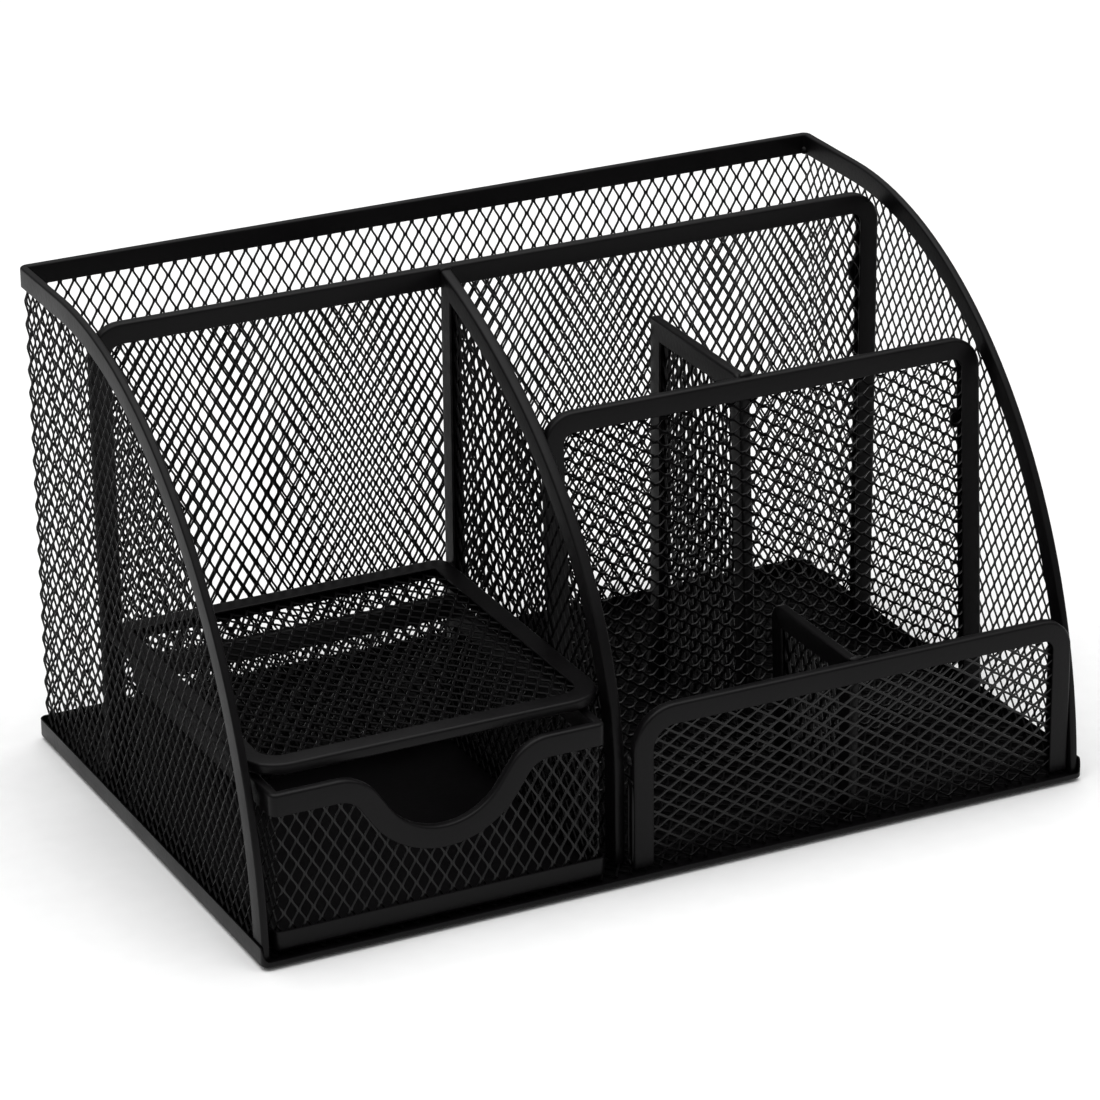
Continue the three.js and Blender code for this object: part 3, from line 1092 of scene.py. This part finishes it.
@dataclass
class Shell:
    """The back and both sides, one sheet bent twice, with channel along its top and down its front edges.

    Attributes:
        channel: The channel on it.
        corner: Outer radius of both bends.
        flat_top: How far the sides' tops run level from the back.
        curve_foot: Height of the middle of the ellipse that the sides' edges follow.
        curve_steps, corner_steps, outline_steps: Steps in that curve, in each bend and along the mesh.
        mesh_inset: How far the mesh's edge lies inside the channel.
        first_bond: The x and z of one bond on the back.
    """

    channel: Channel = field(default_factory=lambda: Channel(thickness=2.0, wall=0.4, edge_radius=0.6))
    corner: float = 2.2
    flat_top: float = 27.0
    curve_foot: float = -4.55
    curve_steps: int = 44
    corner_steps: int = 8
    outline_steps: int = 800
    mesh_inset: float = 1.0
    first_bond: tuple[float, float] = (3.04, 1.2)

    def __post_init__(self) -> None:
        """Reads where the shell stands."""
        low, high = box_of("left_side_rim")
        _, back = box_of("back_rim")
        self.foot, self.top = low[2], high[2]
        self.outer_x, self.outer_y = -low[0], back[1]
        self.curve_start = self.outer_y - self.flat_top
        self.rise = self.top - self.curve_foot
        share = (self.foot - self.curve_foot) / self.rise
        self.reach = (self.curve_start - low[1]) / math.sqrt(1 - share * share)

    def height_at(self, y: Points, inset: float) -> Points:
        """Gives the height of the side's edge at y, drawn in by an inset."""
        share = np.clip((self.curve_start - y) / (self.reach - inset), 0, 1)
        return self.curve_foot + (self.rise - inset) * np.sqrt(1 - share * share)

    def side_path(self, inset: float) -> Points:
        """Gives a side's edge from the back corner, forward and down to the tray.

        Args:
            inset: How far it is drawn in.

        Returns:
            Rows of y and z.
        """
        rise, reach = self.rise - inset, self.reach - inset
        end = math.pi - math.asin((self.foot - self.curve_foot) / rise)
        angles = np.linspace(math.pi / 2, end, self.curve_steps + 1)
        y, z = self.curve_start + reach * np.cos(angles), self.curve_foot + rise * np.sin(angles)
        return np.concatenate([[(self.outer_y - self.corner, self.top - inset)], np.stack([y, z], 1)])

    def back_path(self, inset: float) -> Points:
        """Gives the middle of the back's top edge, round both corners, drawn down by an inset."""
        half = self.channel.thickness / 2
        x, y = self.outer_x - half, self.outer_y - half
        start, radius = self.outer_y - self.corner, self.corner - half
        corners = [(-x, start, 0), (-x, y, radius), (x, y, radius), (x, start, 0)]
        spots = rounded_path(corners, 0.0, False, self.corner_steps)
        return np.column_stack([spots, np.full(len(spots), self.top - inset)])

    def back_normals(self) -> Points:
        """Gives the way out of the sheet at each point of the back's path."""
        spots = self.back_path(0.0)[:, :2]
        step = np.gradient(spots, axis=0)
        out = np.column_stack([-step[:, 1], step[:, 0], np.zeros(len(spots))])
        out[0], out[-1] = (-1, 0, 0), (1, 0, 0)
        return out / np.linalg.norm(out, axis=1)[:, None]

    def build(self, workshop: Workshop) -> None:
        """Makes the three lengths of channel and the bent mesh.

        Args:
            workshop: The stock and paints.
        """
        half = self.channel.thickness / 2
        for side, sign in (("left", -1), ("right", 1)):
            plane = side_plane(sign * (self.outer_x - half))
            rim = self.channel.on_plane(f"{side}_side_channel", plane, self.side_path)
            finish_piece(rim, workshop.coat, Body.FRAME, f"{side}_side_rim")
        back = mesh_of("back_channel", *self.channel.sweep(self.back_path, self.back_normals(), False))
        soften(back)
        finish_piece(back, workshop.coat, Body.FRAME, "back_rim")
        self.bent_mesh(workshop)

    def bent_mesh(self, workshop: Workshop) -> None:
        """Makes the bent sheet as three pieces that share one run of diamonds."""
        half = self.channel.thickness / 2
        x, y = self.outer_x - half, self.outer_y - half
        front = self.curve_start - self.reach
        bend = self.corner - half
        plane = BentPlane([(-x, front, 0), (-x, y, bend), (x, y, bend), (x, front, 0)])
        total = plane.length[-1]
        u = np.linspace(0.0, total, self.outline_steps)
        tops = self.height_at(plane.at(u)[:, 1], self.mesh_inset)
        outline = np.concatenate([np.stack([u, tops], 1), [(total, self.foot), (0.0, self.foot)]])
        side = y - front
        stock = replace(workshop.shell_mesh, shift=(self.first_bond[1], total / 2 + self.first_bond[0]))
        stretches = {"left": (0.0, side), "back": (side, total - side), "right": (total - side, total)}
        for name, ends in stretches.items():
            sheet = weave_sheet(f"shell_{name}_diamonds", stock, plane, outline, LongWay.UP, ends)
            finish_piece(sheet, workshop.strands, Body.FRAME, "shell_mesh")


@dataclass
class Dividers:
    """The dividers and panels that part the bays.

    Attributes:
        corner: Radius of the wide panels' top corners.
        front_left_corner: Radius of the front panel's left corner.
        bay_corner: Radius of the one round corner of each bay divider.
        lean: How far the middle panel leans back, in radians.
        centre_curve_foot: Height of the middle of the ellipse that the centre divider's edge follows.
        centre_curve_rise: The share of that ellipse's height at which the edge meets the divider's back.
        centre_steps: Steps in that edge.
    """

    corner: float = 8.0
    front_left_corner: float = 11.0
    bay_corner: float = 4.0
    lean: float = math.radians(3.3)
    centre_curve_foot: float = 23.6
    centre_curve_rise: float = 0.93
    centre_steps: int = 40

    def build(self, workshop: Workshop) -> None:
        """Makes every divider and panel.

        Args:
            workshop: The stock and paints.
        """
        for panel in (
            self.rear(workshop),
            self.centre(workshop),
            self.middle(workshop),
            self.front(workshop),
            self.rear_bay(workshop),
            self.front_bay(workshop),
        ):
            panel.build(workshop)

    def rear(self, workshop: Workshop) -> Panel:
        """The full-width divider in front of the letter slot."""
        low, high = box_of("rear_divider_rim")
        path = standing_path(low[0], high[0], low[2], high[2], (self.corner, self.corner))
        plane = front_plane((low[1] + high[1]) / 2)
        return Panel("rear_divider", plane, path, workshop.rear_mesh, LongWay.UP)

    def centre_path(self, inset: float) -> Points:
        """Gives the edge of the divider between the shelf and the bays.

        Args:
            inset: How far it is drawn in.

        Returns:
            Rows of y and z: up the back, forward down the curve and straight down the front.
        """
        low, high = box_of("centre_divider_rim")
        rise = (high[2] - self.centre_curve_foot) / self.centre_curve_rise
        reach = (high[1] - low[1]) / (1 - math.sqrt(1 - self.centre_curve_rise**2))
        middle = low[1] + reach
        rear = high[1] - inset
        start = math.acos((rear - middle) / (reach - inset))
        angles = np.linspace(start, math.pi, self.centre_steps + 1)
        y = middle + (reach - inset) * np.cos(angles)
        z = self.centre_curve_foot + (rise - inset) * np.sin(angles)
        return np.concatenate([[(rear, low[2])], np.stack([y, z], 1), [(low[1] + inset, low[2])]])

    def centre(self, workshop: Workshop) -> Panel:
        """The divider between the shelf and the bays."""
        low, high = box_of("centre_divider_rim")
        plane = side_plane((low[0] + high[0]) / 2)
        return Panel("centre_divider", plane, self.centre_path, workshop.centre_mesh, LongWay.UP)

    def middle(self, workshop: Workshop) -> Panel:
        """The leaning panel across the bays."""
        low, high = box_of("mid_panel_rim")
        half = workshop.channel.thickness / 2
        foot_y = low[1] + half * math.cos(self.lean)
        foot_z = low[2] + half * math.sin(self.lean)
        long = (high[2] - half * math.sin(self.lean) - foot_z) / math.cos(self.lean)
        plane = FlatPlane((0, foot_y, foot_z), (1, 0, 0), (0, math.sin(self.lean), math.cos(self.lean)))
        path = standing_path(low[0], high[0], 0.0, long, (self.corner, self.corner))
        return Panel("mid_panel", plane, path, workshop.mid_mesh, LongWay.ALONG)

    def front(self, workshop: Workshop) -> Panel:
        """The low panel across the front of the bays."""
        low, high = box_of("front_panel_rim")
        path = standing_path(low[0], high[0], low[2], high[2], (self.front_left_corner, self.corner))
        plane = front_plane((low[1] + high[1]) / 2)
        return Panel("front_panel", plane, path, workshop.front_mesh, LongWay.ALONG)

    def slope(self, low: Points, high: Points) -> float:
        """How far a bay divider's leaning end moves back between its foot and its top."""
        return (high[2] - low[2]) * math.tan(self.lean)

    def rear_bay(self, workshop: Workshop) -> Panel:
        """The small divider behind the leaning panel. Its front end leans with the panel."""
        low, high = box_of("rear_bay_divider_rim")
        back = self.slope(low, high)
        corners = [
            (low[1], low[2], 0),
            (low[1] + back, high[2], self.bay_corner),
            (high[1], high[2], 0),
            (high[1], low[2], 0),
        ]
        plane = side_plane((low[0] + high[0]) / 2)
        return Panel("rear_bay_divider", plane, edge_path(corners), workshop.steep_mesh, LongWay.UP)

    def front_bay(self, workshop: Workshop) -> Panel:
        """The small divider in front of the leaning panel. Its back end leans with the panel."""
        low, high = box_of("front_bay_divider_rim")
        back = self.slope(low, high)
        corners = [
            (low[1], low[2], 0),
            (low[1], high[2], 0),
            (high[1], high[2], self.bay_corner),
            (high[1] - back, low[2], 0),
        ]
        plane = side_plane((low[0] + high[0]) / 2)
        return Panel("front_bay_divider", plane, edge_path(corners), workshop.steep_mesh, LongWay.UP)


@dataclass
class Shelf:
    """The flat shelf over the drawer, in a closed frame of channel with round corners."""

    front_corner: float = 10.0
    rear_corner: float = 4.0

    def build(self, workshop: Workshop) -> None:
        """Makes the shelf.

        Args:
            workshop: The stock and paints.
        """
        low, high = box_of("shelf_frame")
        plane = level_plane((low[2] + high[2]) / 2)
        path = edge_path(box_corners(low, high, self.front_corner, self.rear_corner), closed=True)
        shelf = Panel(
            "shelf", plane, path, workshop.steep_mesh, LongWay.UP, closed=True, channel_name="frame"
        )
        shelf.build(workshop)


@dataclass
class Drawer:
    """The drawer: a solid pan, mesh sides, and channel on the top edge with a finger scoop in the front.

    Attributes:
        channel: The channel on the top edge.
        corner, corner_steps: Outer radius of the drawer's corners, and the steps in each.
        plate, flange: Thickness of the pan's floor and of its wall.
        bend, bend_steps: Outer radius of the pan's lower fold, and the steps in it.
        outline_steps: Steps along the mesh.
        first_bond: The x and z that one bond would have, were the front's diamonds carried on to it.
        scoop_shift: How far right of the front's middle the scoop stands.
        scoop_depth: Depth of the scoop.
        scoop_floor, scoop_lip: Radii of its floor and of the lip on each side.
        scoop_slope: Slope of its straight sides, in radians.
        scoop_steps: Steps in each lip.
        mesh_inset: How far the mesh's edge lies inside the channel.
    """

    channel: Channel = field(default_factory=lambda: Channel(thickness=2.6, face=5.6))
    corner: float = 2.0
    plate: float = 0.6
    flange: float = 0.5
    bend: float = 1.1
    bend_steps: int = 5
    corner_steps: int = 8
    outline_steps: int = 1400
    first_bond: tuple[float, float] = (1.4, 0.37)
    scoop_shift: float = 1.05
    scoop_depth: float = 17.1
    scoop_floor: float = 17.0
    scoop_lip: float = 12.3
    scoop_slope: float = math.radians(56)
    scoop_steps: int = 12
    mesh_inset: float = 1.3

    def __post_init__(self) -> None:
        """Reads where the drawer stands."""
        self.low, self.high = box_of("drawer_rim")

    def plan(self, inset: float) -> Points:
        """Gives the drawer's outline from above, clockwise from its left front corner."""
        corners = box_corners(self.low, self.high, self.corner, self.corner)
        return rounded_path(corners, inset, True, self.corner_steps)

    def scoop(self, inset: float) -> Points:
        """Gives the scooped part of the front's top edge, from right to left.

        Args:
            inset: How far it is drawn down and out.

        Returns:
            Rows of x and z.
        """
        floor_radius, lip_radius = self.scoop_floor + inset, self.scoop_lip - inset
        both = self.scoop_floor + self.scoop_lip
        run = (self.scoop_depth - both * (1 - math.cos(self.scoop_slope))) / math.tan(self.scoop_slope)
        lip_x = both * math.sin(self.scoop_slope) + run
        lip_z = self.high[2] - self.scoop_lip
        floor_z = self.high[2] - self.scoop_depth + self.scoop_floor
        middle = (self.low[0] + self.high[0]) / 2 + self.scoop_shift
        lip = np.linspace(0, self.scoop_slope, self.scoop_steps + 1)
        floor = np.linspace(self.scoop_slope, -self.scoop_slope, 2 * self.scoop_steps + 1)
        right = np.stack([middle + lip_x - lip_radius * np.sin(lip), lip_z + lip_radius * np.cos(lip)], 1)
        low = np.stack([middle + floor_radius * np.sin(floor), floor_z - floor_radius * np.cos(floor)], 1)
        left = right[::-1] * np.array([-1, 1]) + np.array([2 * middle, 0])
        return np.concatenate([right, low, left])

    def edge(self, inset: float) -> Points:
        """Gives the middle of the top edge all round, drawn in by an inset."""
        half = self.channel.thickness / 2
        spots = self.plan(half)
        around = np.column_stack([spots, np.full(len(spots), self.high[2] - inset)])
        scoop = self.scoop(inset)
        front = np.column_stack([scoop[:, 0], np.full(len(scoop), self.low[1] + half), scoop[:, 1]])
        return np.concatenate([around, front])

    def edge_normals(self) -> Points:
        """Gives the way out of the sheet at each point of the top edge."""
        half, probe = self.channel.thickness / 2, 0.2
        around = self.plan(half) - self.plan(half + probe)
        out = np.column_stack([around, np.zeros(len(around))])
        out /= np.linalg.norm(out, axis=1)[:, None]
        front = np.tile((0.0, -1.0, 0.0), (len(self.scoop(0.0)), 1))
        return np.concatenate([out, front])

    def build(self, workshop: Workshop) -> None:
        """Makes the rim, the sides and the pan.

        Args:
            workshop: The stock and paints.
        """
        rim = mesh_of("drawer_channel", *self.channel.sweep(self.edge, self.edge_normals(), True))
        soften(rim)
        finish_piece(rim, workshop.coat, Body.DRAWER, "drawer_rim")
        self.sides(workshop)
        self.pan(workshop)

    def sides(self, workshop: Workshop) -> None:
        """Makes the mesh sides as one bent sheet whose ends meet in the middle of the back."""
        half = self.channel.thickness / 2
        left, right = self.low[0] + half, self.high[0] - half
        front, rear = self.low[1] + half, self.high[1] - half
        middle, bend = (left + right) / 2, self.corner - half
        path = [
            (middle, rear, 0),
            (right, rear, bend),
            (right, front, bend),
            (left, front, bend),
            (left, rear, bend),
            (middle, rear, 0),
        ]
        plane = BentPlane(path)
        total = plane.length[-1]
        u = np.linspace(0.0, total, self.outline_steps)
        spots = plane.at(u)
        scoop = self.scoop(self.mesh_inset)[::-1]
        tops = np.interp(spots[:, 0], scoop[:, 0], scoop[:, 1])
        tops = np.where(spots[:, 1] < front + bend, tops, self.high[2] - self.mesh_inset)
        foot = box_of("drawer_mesh")[0][2]
        across = total / 2 + middle - self.first_bond[0]
        stock = replace(workshop.drawer_mesh, shift=(self.first_bond[1], across))
        outline = np.concatenate([np.stack([u, tops], 1), [(total, foot), (0.0, foot)]])
        sheet = weave_sheet("drawer_diamonds", stock, plane, outline, LongWay.UP)
        finish_piece(sheet, workshop.strands, Body.DRAWER, "drawer_mesh")

    def pan(self, workshop: Workshop) -> None:
        """Makes the solid pan with rounded lower edges."""
        (_, _, under), (_, _, top) = box_of("drawer_pan")
        upper, lip, inner_bend = under + self.plate, self.flange / 3, self.bend / 2
        rows = lower_bend(self.bend, under, self.bend_steps)
        rows += [(0.0, top - lip), (lip, top), (self.flange - lip, top), (self.flange, top - lip)]
        rows += [(self.flange, upper + inner_bend), (self.flange + inner_bend, upper)]
        fold_sheet(workshop, Body.DRAWER, "drawer_pan", loops_at(self.plan, rows))


@dataclass
class Lugs:
    """Small plates welded behind the right ends of two dividers."""

    edge: float = 0.25
    edge_steps: int = 3

    def build(self, workshop: Workshop) -> None:
        """Makes both lugs.

        Args:
            workshop: The stock and paints.
        """
        for node in ("rear_divider_lug", "mid_panel_lug"):
            low, high = box_of(node)
            work = bmesh.new()
            bmesh.ops.create_cube(work, size=1.0)
            size, middle = (high - low) * MM, (high + low) / 2 * MM
            for vertex in work.verts:
                vertex.co = Vector(size * np.array(vertex.co) + middle)
            bmesh.ops.bevel(
                work, geom=work.edges[:], offset=self.edge * MM, segments=self.edge_steps, affect="EDGES"
            )
            mesh = bpy.data.meshes.new(f"{node}_plate")
            work.to_mesh(mesh)
            work.free()
            plate = link_object(mesh.name, mesh)
            soften(plate)
            finish_piece(plate, workshop.coat, Body.FRAME, node)


@dataclass(frozen=True)
class Bead:
    """One weld bead: its middle, and its half sizes along x, y and z."""

    middle: Place
    half: Place


@dataclass
class Welds:
    """Beads of weld where the rims meet, coated with everything else.

    Attributes:
        lump: How uneven a bead is, as a share of its size.
        rings, sides: Steps from pole to pole of a bead, and points round each ring.
        pole: Angle of the small ring at each pole.
        turn_step: How far each bead's waves are turned from those of the bead before it.
        off_face: How far the middle of a bead lies from the face of the rim that it joins.
        seam_gap: How far the seam stands left of the front panel.
        rib_insets: How far the front and the rear rib stand in from the front panel's two faces.
        rib_height, arch_height: Heights of the middles of the ribs and the arch.
        seam_top_place, seam_foot_place: How far each bead stands behind the rear rib, and its height.
        end_height: Height of the bead at the front panel's right end.
        ridge_drop, centre_drop: How far below the rim's top the ridges and the centre divider's bead lie.
        shelf_place: How far the shelf's bead lies in from its right side, back and top.
        corner_lift: How far above the back rim's lips the bead in the shell's corner lies.
        rib, arch, seam_top, seam_foot, end, ridge, shelf, centre, corner: Half sizes of each bead.
    """

    lump: float = 0.16
    rings: int = 12
    sides: int = 20
    pole: float = 0.12
    turn_step: float = 1.7
    off_face: float = 0.1
    seam_gap: float = 0.25
    rib_insets: tuple[float, float] = (0.55, 0.35)
    rib_height: float = 14.3
    arch_height: float = 25.3
    seam_top_place: tuple[float, float] = (0.2, 30.4)
    seam_foot_place: tuple[float, float] = (0.1, 3.9)
    end_height: float = 25.0
    ridge_drop: float = 0.2
    centre_drop: float = 0.6
    shelf_place: Place = (0.2, 4.5, 0.7)
    corner_lift: float = 0.9
    rib: Place = (0.4, 0.4, 11.0)
    arch: Place = (0.45, 1.4, 0.7)
    seam_top: Place = (0.9, 1.9, 1.4)
    seam_foot: Place = (0.7, 1.6, 0.9)
    end: Place = (0.8, 0.7, 1.5)
    ridge: Place = (2.2, 1.3, 1.1)
    shelf: Place = (0.8, 1.8, 0.8)
    centre: Place = (1.9, 0.9, 0.8)
    corner: Place = (1.1, 1.1, 1.2)

    def seam_beads(self) -> list[Bead]:
        """Lists the beads of the slot-shaped seam between the centre divider and the front panel.

        Returns:
            Two upright ribs, the arch over them, and a bead above and below.
        """
        low, high = box_of("front_panel_rim")
        x = low[0] - self.seam_gap
        near, far = low[1] + self.rib_insets[0], high[1] - self.rib_insets[1]
        top_back, top_height = self.seam_top_place
        foot_back, foot_height = self.seam_foot_place
        return [
            Bead((x, near, self.rib_height), self.rib),
            Bead((x, far, self.rib_height), self.rib),
            Bead((x, (near + far) / 2, self.arch_height), self.arch),
            Bead((x, far + top_back, top_height), self.seam_top),
            Bead((x, far + foot_back, foot_height), self.seam_foot),
        ]

    def bay_beads(self) -> list[Bead]:
        """Lists the beads round the bays.

        Returns:
            One at the front panel's right end, and one over the top of each bay divider's end.
        """
        off = self.off_face
        _, front = box_of("front_panel_rim")
        _, mid = box_of("mid_panel_rim")
        front_x, rear_x = (
            sum(corner[0] for corner in box_of(node)) / 2
            for node in ("front_bay_divider_rim", "rear_bay_divider_rim")
        )
        return [
            Bead((front[0] - off, front[1] - off, self.end_height), self.end),
            Bead((front_x, front[1] + off, front[2] - self.ridge_drop), self.ridge),
            Bead((rear_x, mid[1] + off, mid[2] - self.ridge_drop), self.ridge),
        ]

    def corner_beads(self) -> list[Bead]:
        """Lists the beads where long rims meet.

        Returns:
            One each at the shelf's side, at the centre divider's top and in the shell's right rear corner.
        """
        off = self.off_face
        _, shelf = box_of("shelf_frame")
        rear_low, rear = box_of("rear_divider_rim")
        back, _ = box_of("back_rim")
        side, _ = box_of("right_side_rim")
        centre_x = sum(corner[0] for corner in box_of("centre_divider_rim")) / 2
        return [
            Bead(tuple(shelf - np.array(self.shelf_place)), self.shelf),
            Bead((centre_x, rear_low[1] - off, rear[2] - self.centre_drop), self.centre),
            Bead((side[0] + off, back[1] - off, back[2] + self.corner_lift), self.corner),
        ]

    def bead(self, bead: Bead, turn: float) -> tuple[Points, Faces]:
        """Makes one bead with an uneven surface.

        Args:
            bead: Its place and size.
            turn: Where its waves start, so that no two beads look the same.

        Returns:
            Its points and faces.
        """
        rise = np.linspace(0.0, math.pi, self.rings + 1)[1:-1]
        around = np.linspace(0.0, 2 * math.pi, self.sides, endpoint=False)
        loops = []
        for angle in np.concatenate([[self.pole], rise, [math.pi - self.pole]]):
            broad = np.sin(3 * around + turn) * np.sin(4 * angle + turn)
            ribbed = 0.6 * np.sin(5 * around - 2 * turn)
            size = 1 - self.lump / 2 + self.lump / 2 * (broad + ribbed) * math.sin(angle)
            x, y = np.cos(around) * math.sin(angle), np.sin(around) * math.sin(angle)
            ball = np.stack([x, y, np.full(self.sides, math.cos(angle))], 1)
            loops.append(np.array(bead.middle) + ball * size[:, None] * np.array(bead.half))
        return skin_loops(loops)

    def build(self, workshop: Workshop) -> None:
        """Makes all the beads as one piece.

        Args:
            workshop: The stock and paints.
        """
        points, faces, count = [], [], 0
        for number, bead in enumerate(self.seam_beads() + self.bay_beads() + self.corner_beads()):
            spots, sides = self.bead(bead, self.turn_step * number)
            points.append(spots)
            faces += [tuple(i + count for i in face) for face in sides]
            count += len(spots)
        beads = mesh_of("weld_beads", np.concatenate(points), faces)
        soften(beads, angle=60.0)
        finish_piece(beads, workshop.coat, Body.FRAME)


# ---- Studio --------------------------------------------------------------------------------------


@dataclass(frozen=True)
class SoftBox:
    """A square soft box: its place and side in metres, and its power in watts."""

    name: str
    place: Place
    side: float
    power: float


@dataclass
class Studio:
    """Pale floor, soft boxes and the camera.

    Attributes:
        boxes: The soft boxes.
        aim: Where they all face, in metres.
        floor_half: Half the floor's side.
        azimuth, elevation, roll: How the camera is turned, in degrees.
        eye: Where it stands.
        focal, sensor: Its focal length and the width of its sensor.
        clip: The nearest and furthest distance that it sees, in metres.
        dim_below, bright_above: The room's heights, as shares of straight up, where it starts and stops
            getting brighter.
        level_light, overhead_light: Its brightness there.
    """

    boxes: tuple[SoftBox, ...] = (
        SoftBox("overhead_box", (0.0, 0.1, 1.8), 1.8, 18.0),
        SoftBox("overhead_left_box", (-0.95, -0.1, 1.6), 0.7, 2.0),
    )
    aim: Place = (0.0, 0.0, 0.05)
    floor_half: float = 4000.0
    azimuth: float = -26.184
    elevation: float = 23.246
    roll: float = -0.523
    eye: Place = (-502.95, -1020.91, 545.73)
    focal: float = 164.74
    sensor: float = 36.0
    clip: tuple[float, float] = (0.05, 20.0)
    dim_below: float = 0.3
    bright_above: float = 0.85
    level_light: float = 0.22
    overhead_light: float = 1.15

    def camera(self) -> None:
        """Stands the camera in front, to the left and above."""
        turn, rise, roll = (math.radians(a) for a in (self.azimuth, self.elevation, self.roll))
        back = Vector((math.sin(turn) * math.cos(rise), -math.cos(turn) * math.cos(rise), math.sin(rise)))
        right = Vector((math.cos(turn), math.sin(turn), 0.0))
        up = back.cross(right)
        rolled_right = right * math.cos(roll) + up * math.sin(roll)
        rolled_up = up * math.cos(roll) - right * math.sin(roll)
        lens = bpy.data.cameras.new("studio_camera")
        lens.lens, lens.sensor_width = self.focal, self.sensor
        lens.clip_start, lens.clip_end = self.clip
        stand = link_object("studio_camera", lens)
        turned = Matrix((rolled_right, rolled_up, back)).transposed().to_4x4()
        stand.matrix_world = Matrix.Translation(Vector(self.eye) * MM) @ turned
        bpy.context.scene.camera = stand

    def light(self, box: SoftBox) -> None:
        """Adds a soft box that faces the middle of the organizer."""
        lamp = bpy.data.lights.new(box.name, "AREA")
        lamp.shape = "RECTANGLE"
        lamp.size = lamp.size_y = box.side
        lamp.energy = box.power
        holder = link_object(box.name, lamp)
        turned = (Vector(box.place) - Vector(self.aim)).to_track_quat("Z", "Y").to_matrix().to_4x4()
        holder.matrix_world = Matrix.Translation(Vector(box.place)) @ turned

    def floor(self) -> None:
        """Lays the pale floor."""
        half = self.floor_half
        spots = np.array([(-half, -half, 0), (half, -half, 0), (half, half, 0), (-half, half, 0)])
        card = mesh_of("studio_floor", spots, [(0, 1, 2, 3)], outward=False)
        card.data.materials.append(Backdrop().material())

    def build(self) -> None:
        """Makes the camera, the floor and the lights."""
        bpy.context.scene.view_settings.view_transform = "Standard"
        bpy.context.scene.world = self.surroundings()
        self.camera()
        self.floor()
        for box in self.boxes:
            self.light(box)

    def surroundings(self) -> bpy.types.World:
        """Makes a room that is dim at eye level and bright overhead.

        Returns:
            The world.
        """
        room = bpy.data.worlds.new("studio_surroundings")
        tree = empty_tree(room)
        way = add_node(tree, "ShaderNodeTexCoord").outputs["Generated"]
        split = add_node(tree, "ShaderNodeSeparateXYZ", {"Vector": way})
        glow = add_node(
            tree,
            "ShaderNodeMapRange",
            {
                "Value": split.outputs["Z"],
                "From Min": self.dim_below,
                "From Max": self.bright_above,
                "To Min": self.level_light,
                "To Max": self.overhead_light,
            },
        )
        white = (1.0, 1.0, 1.0, 1.0)
        sky = add_node(tree, "ShaderNodeBackground", {"Color": white, "Strength": glow.outputs["Result"]})
        add_node(tree, "ShaderNodeOutputWorld", {"Surface": sky.outputs["Background"]})
        return room


def main() -> None:
    """Builds the organizer and its studio."""
    logging.basicConfig(level=logging.INFO, format="%(message)s")
    # Painted shade: a duller, less shiny copy of the coat for the upward faces inside the tray and the
    # drawer.
    inside = PowderCoat(name="powder_coat_black_painted_shade", roughness=0.5, specular=0.04)
    on_mesh = PowderCoat(name="powder_coat_black_on_mesh", roughness=0.34, specular=0.24)
    workshop = Workshop(
        coat=Paint(PowderCoat().material(), Slot.POWDER_COAT),
        shaded_coat=Paint(inside.material(), Slot.POWDER_COAT),
        strands=Paint(on_mesh.material(), Slot.COATED_MESH),
        rubber=Paint(MouldedRubber().material(), Slot.RUBBER),
    )
    Studio().build()
    for assembly in (Base(), Shell(), Dividers(), Shelf(), Drawer(), Lugs(), Welds()):
        assembly.build(workshop)


if __name__ == "__main__":
    main()
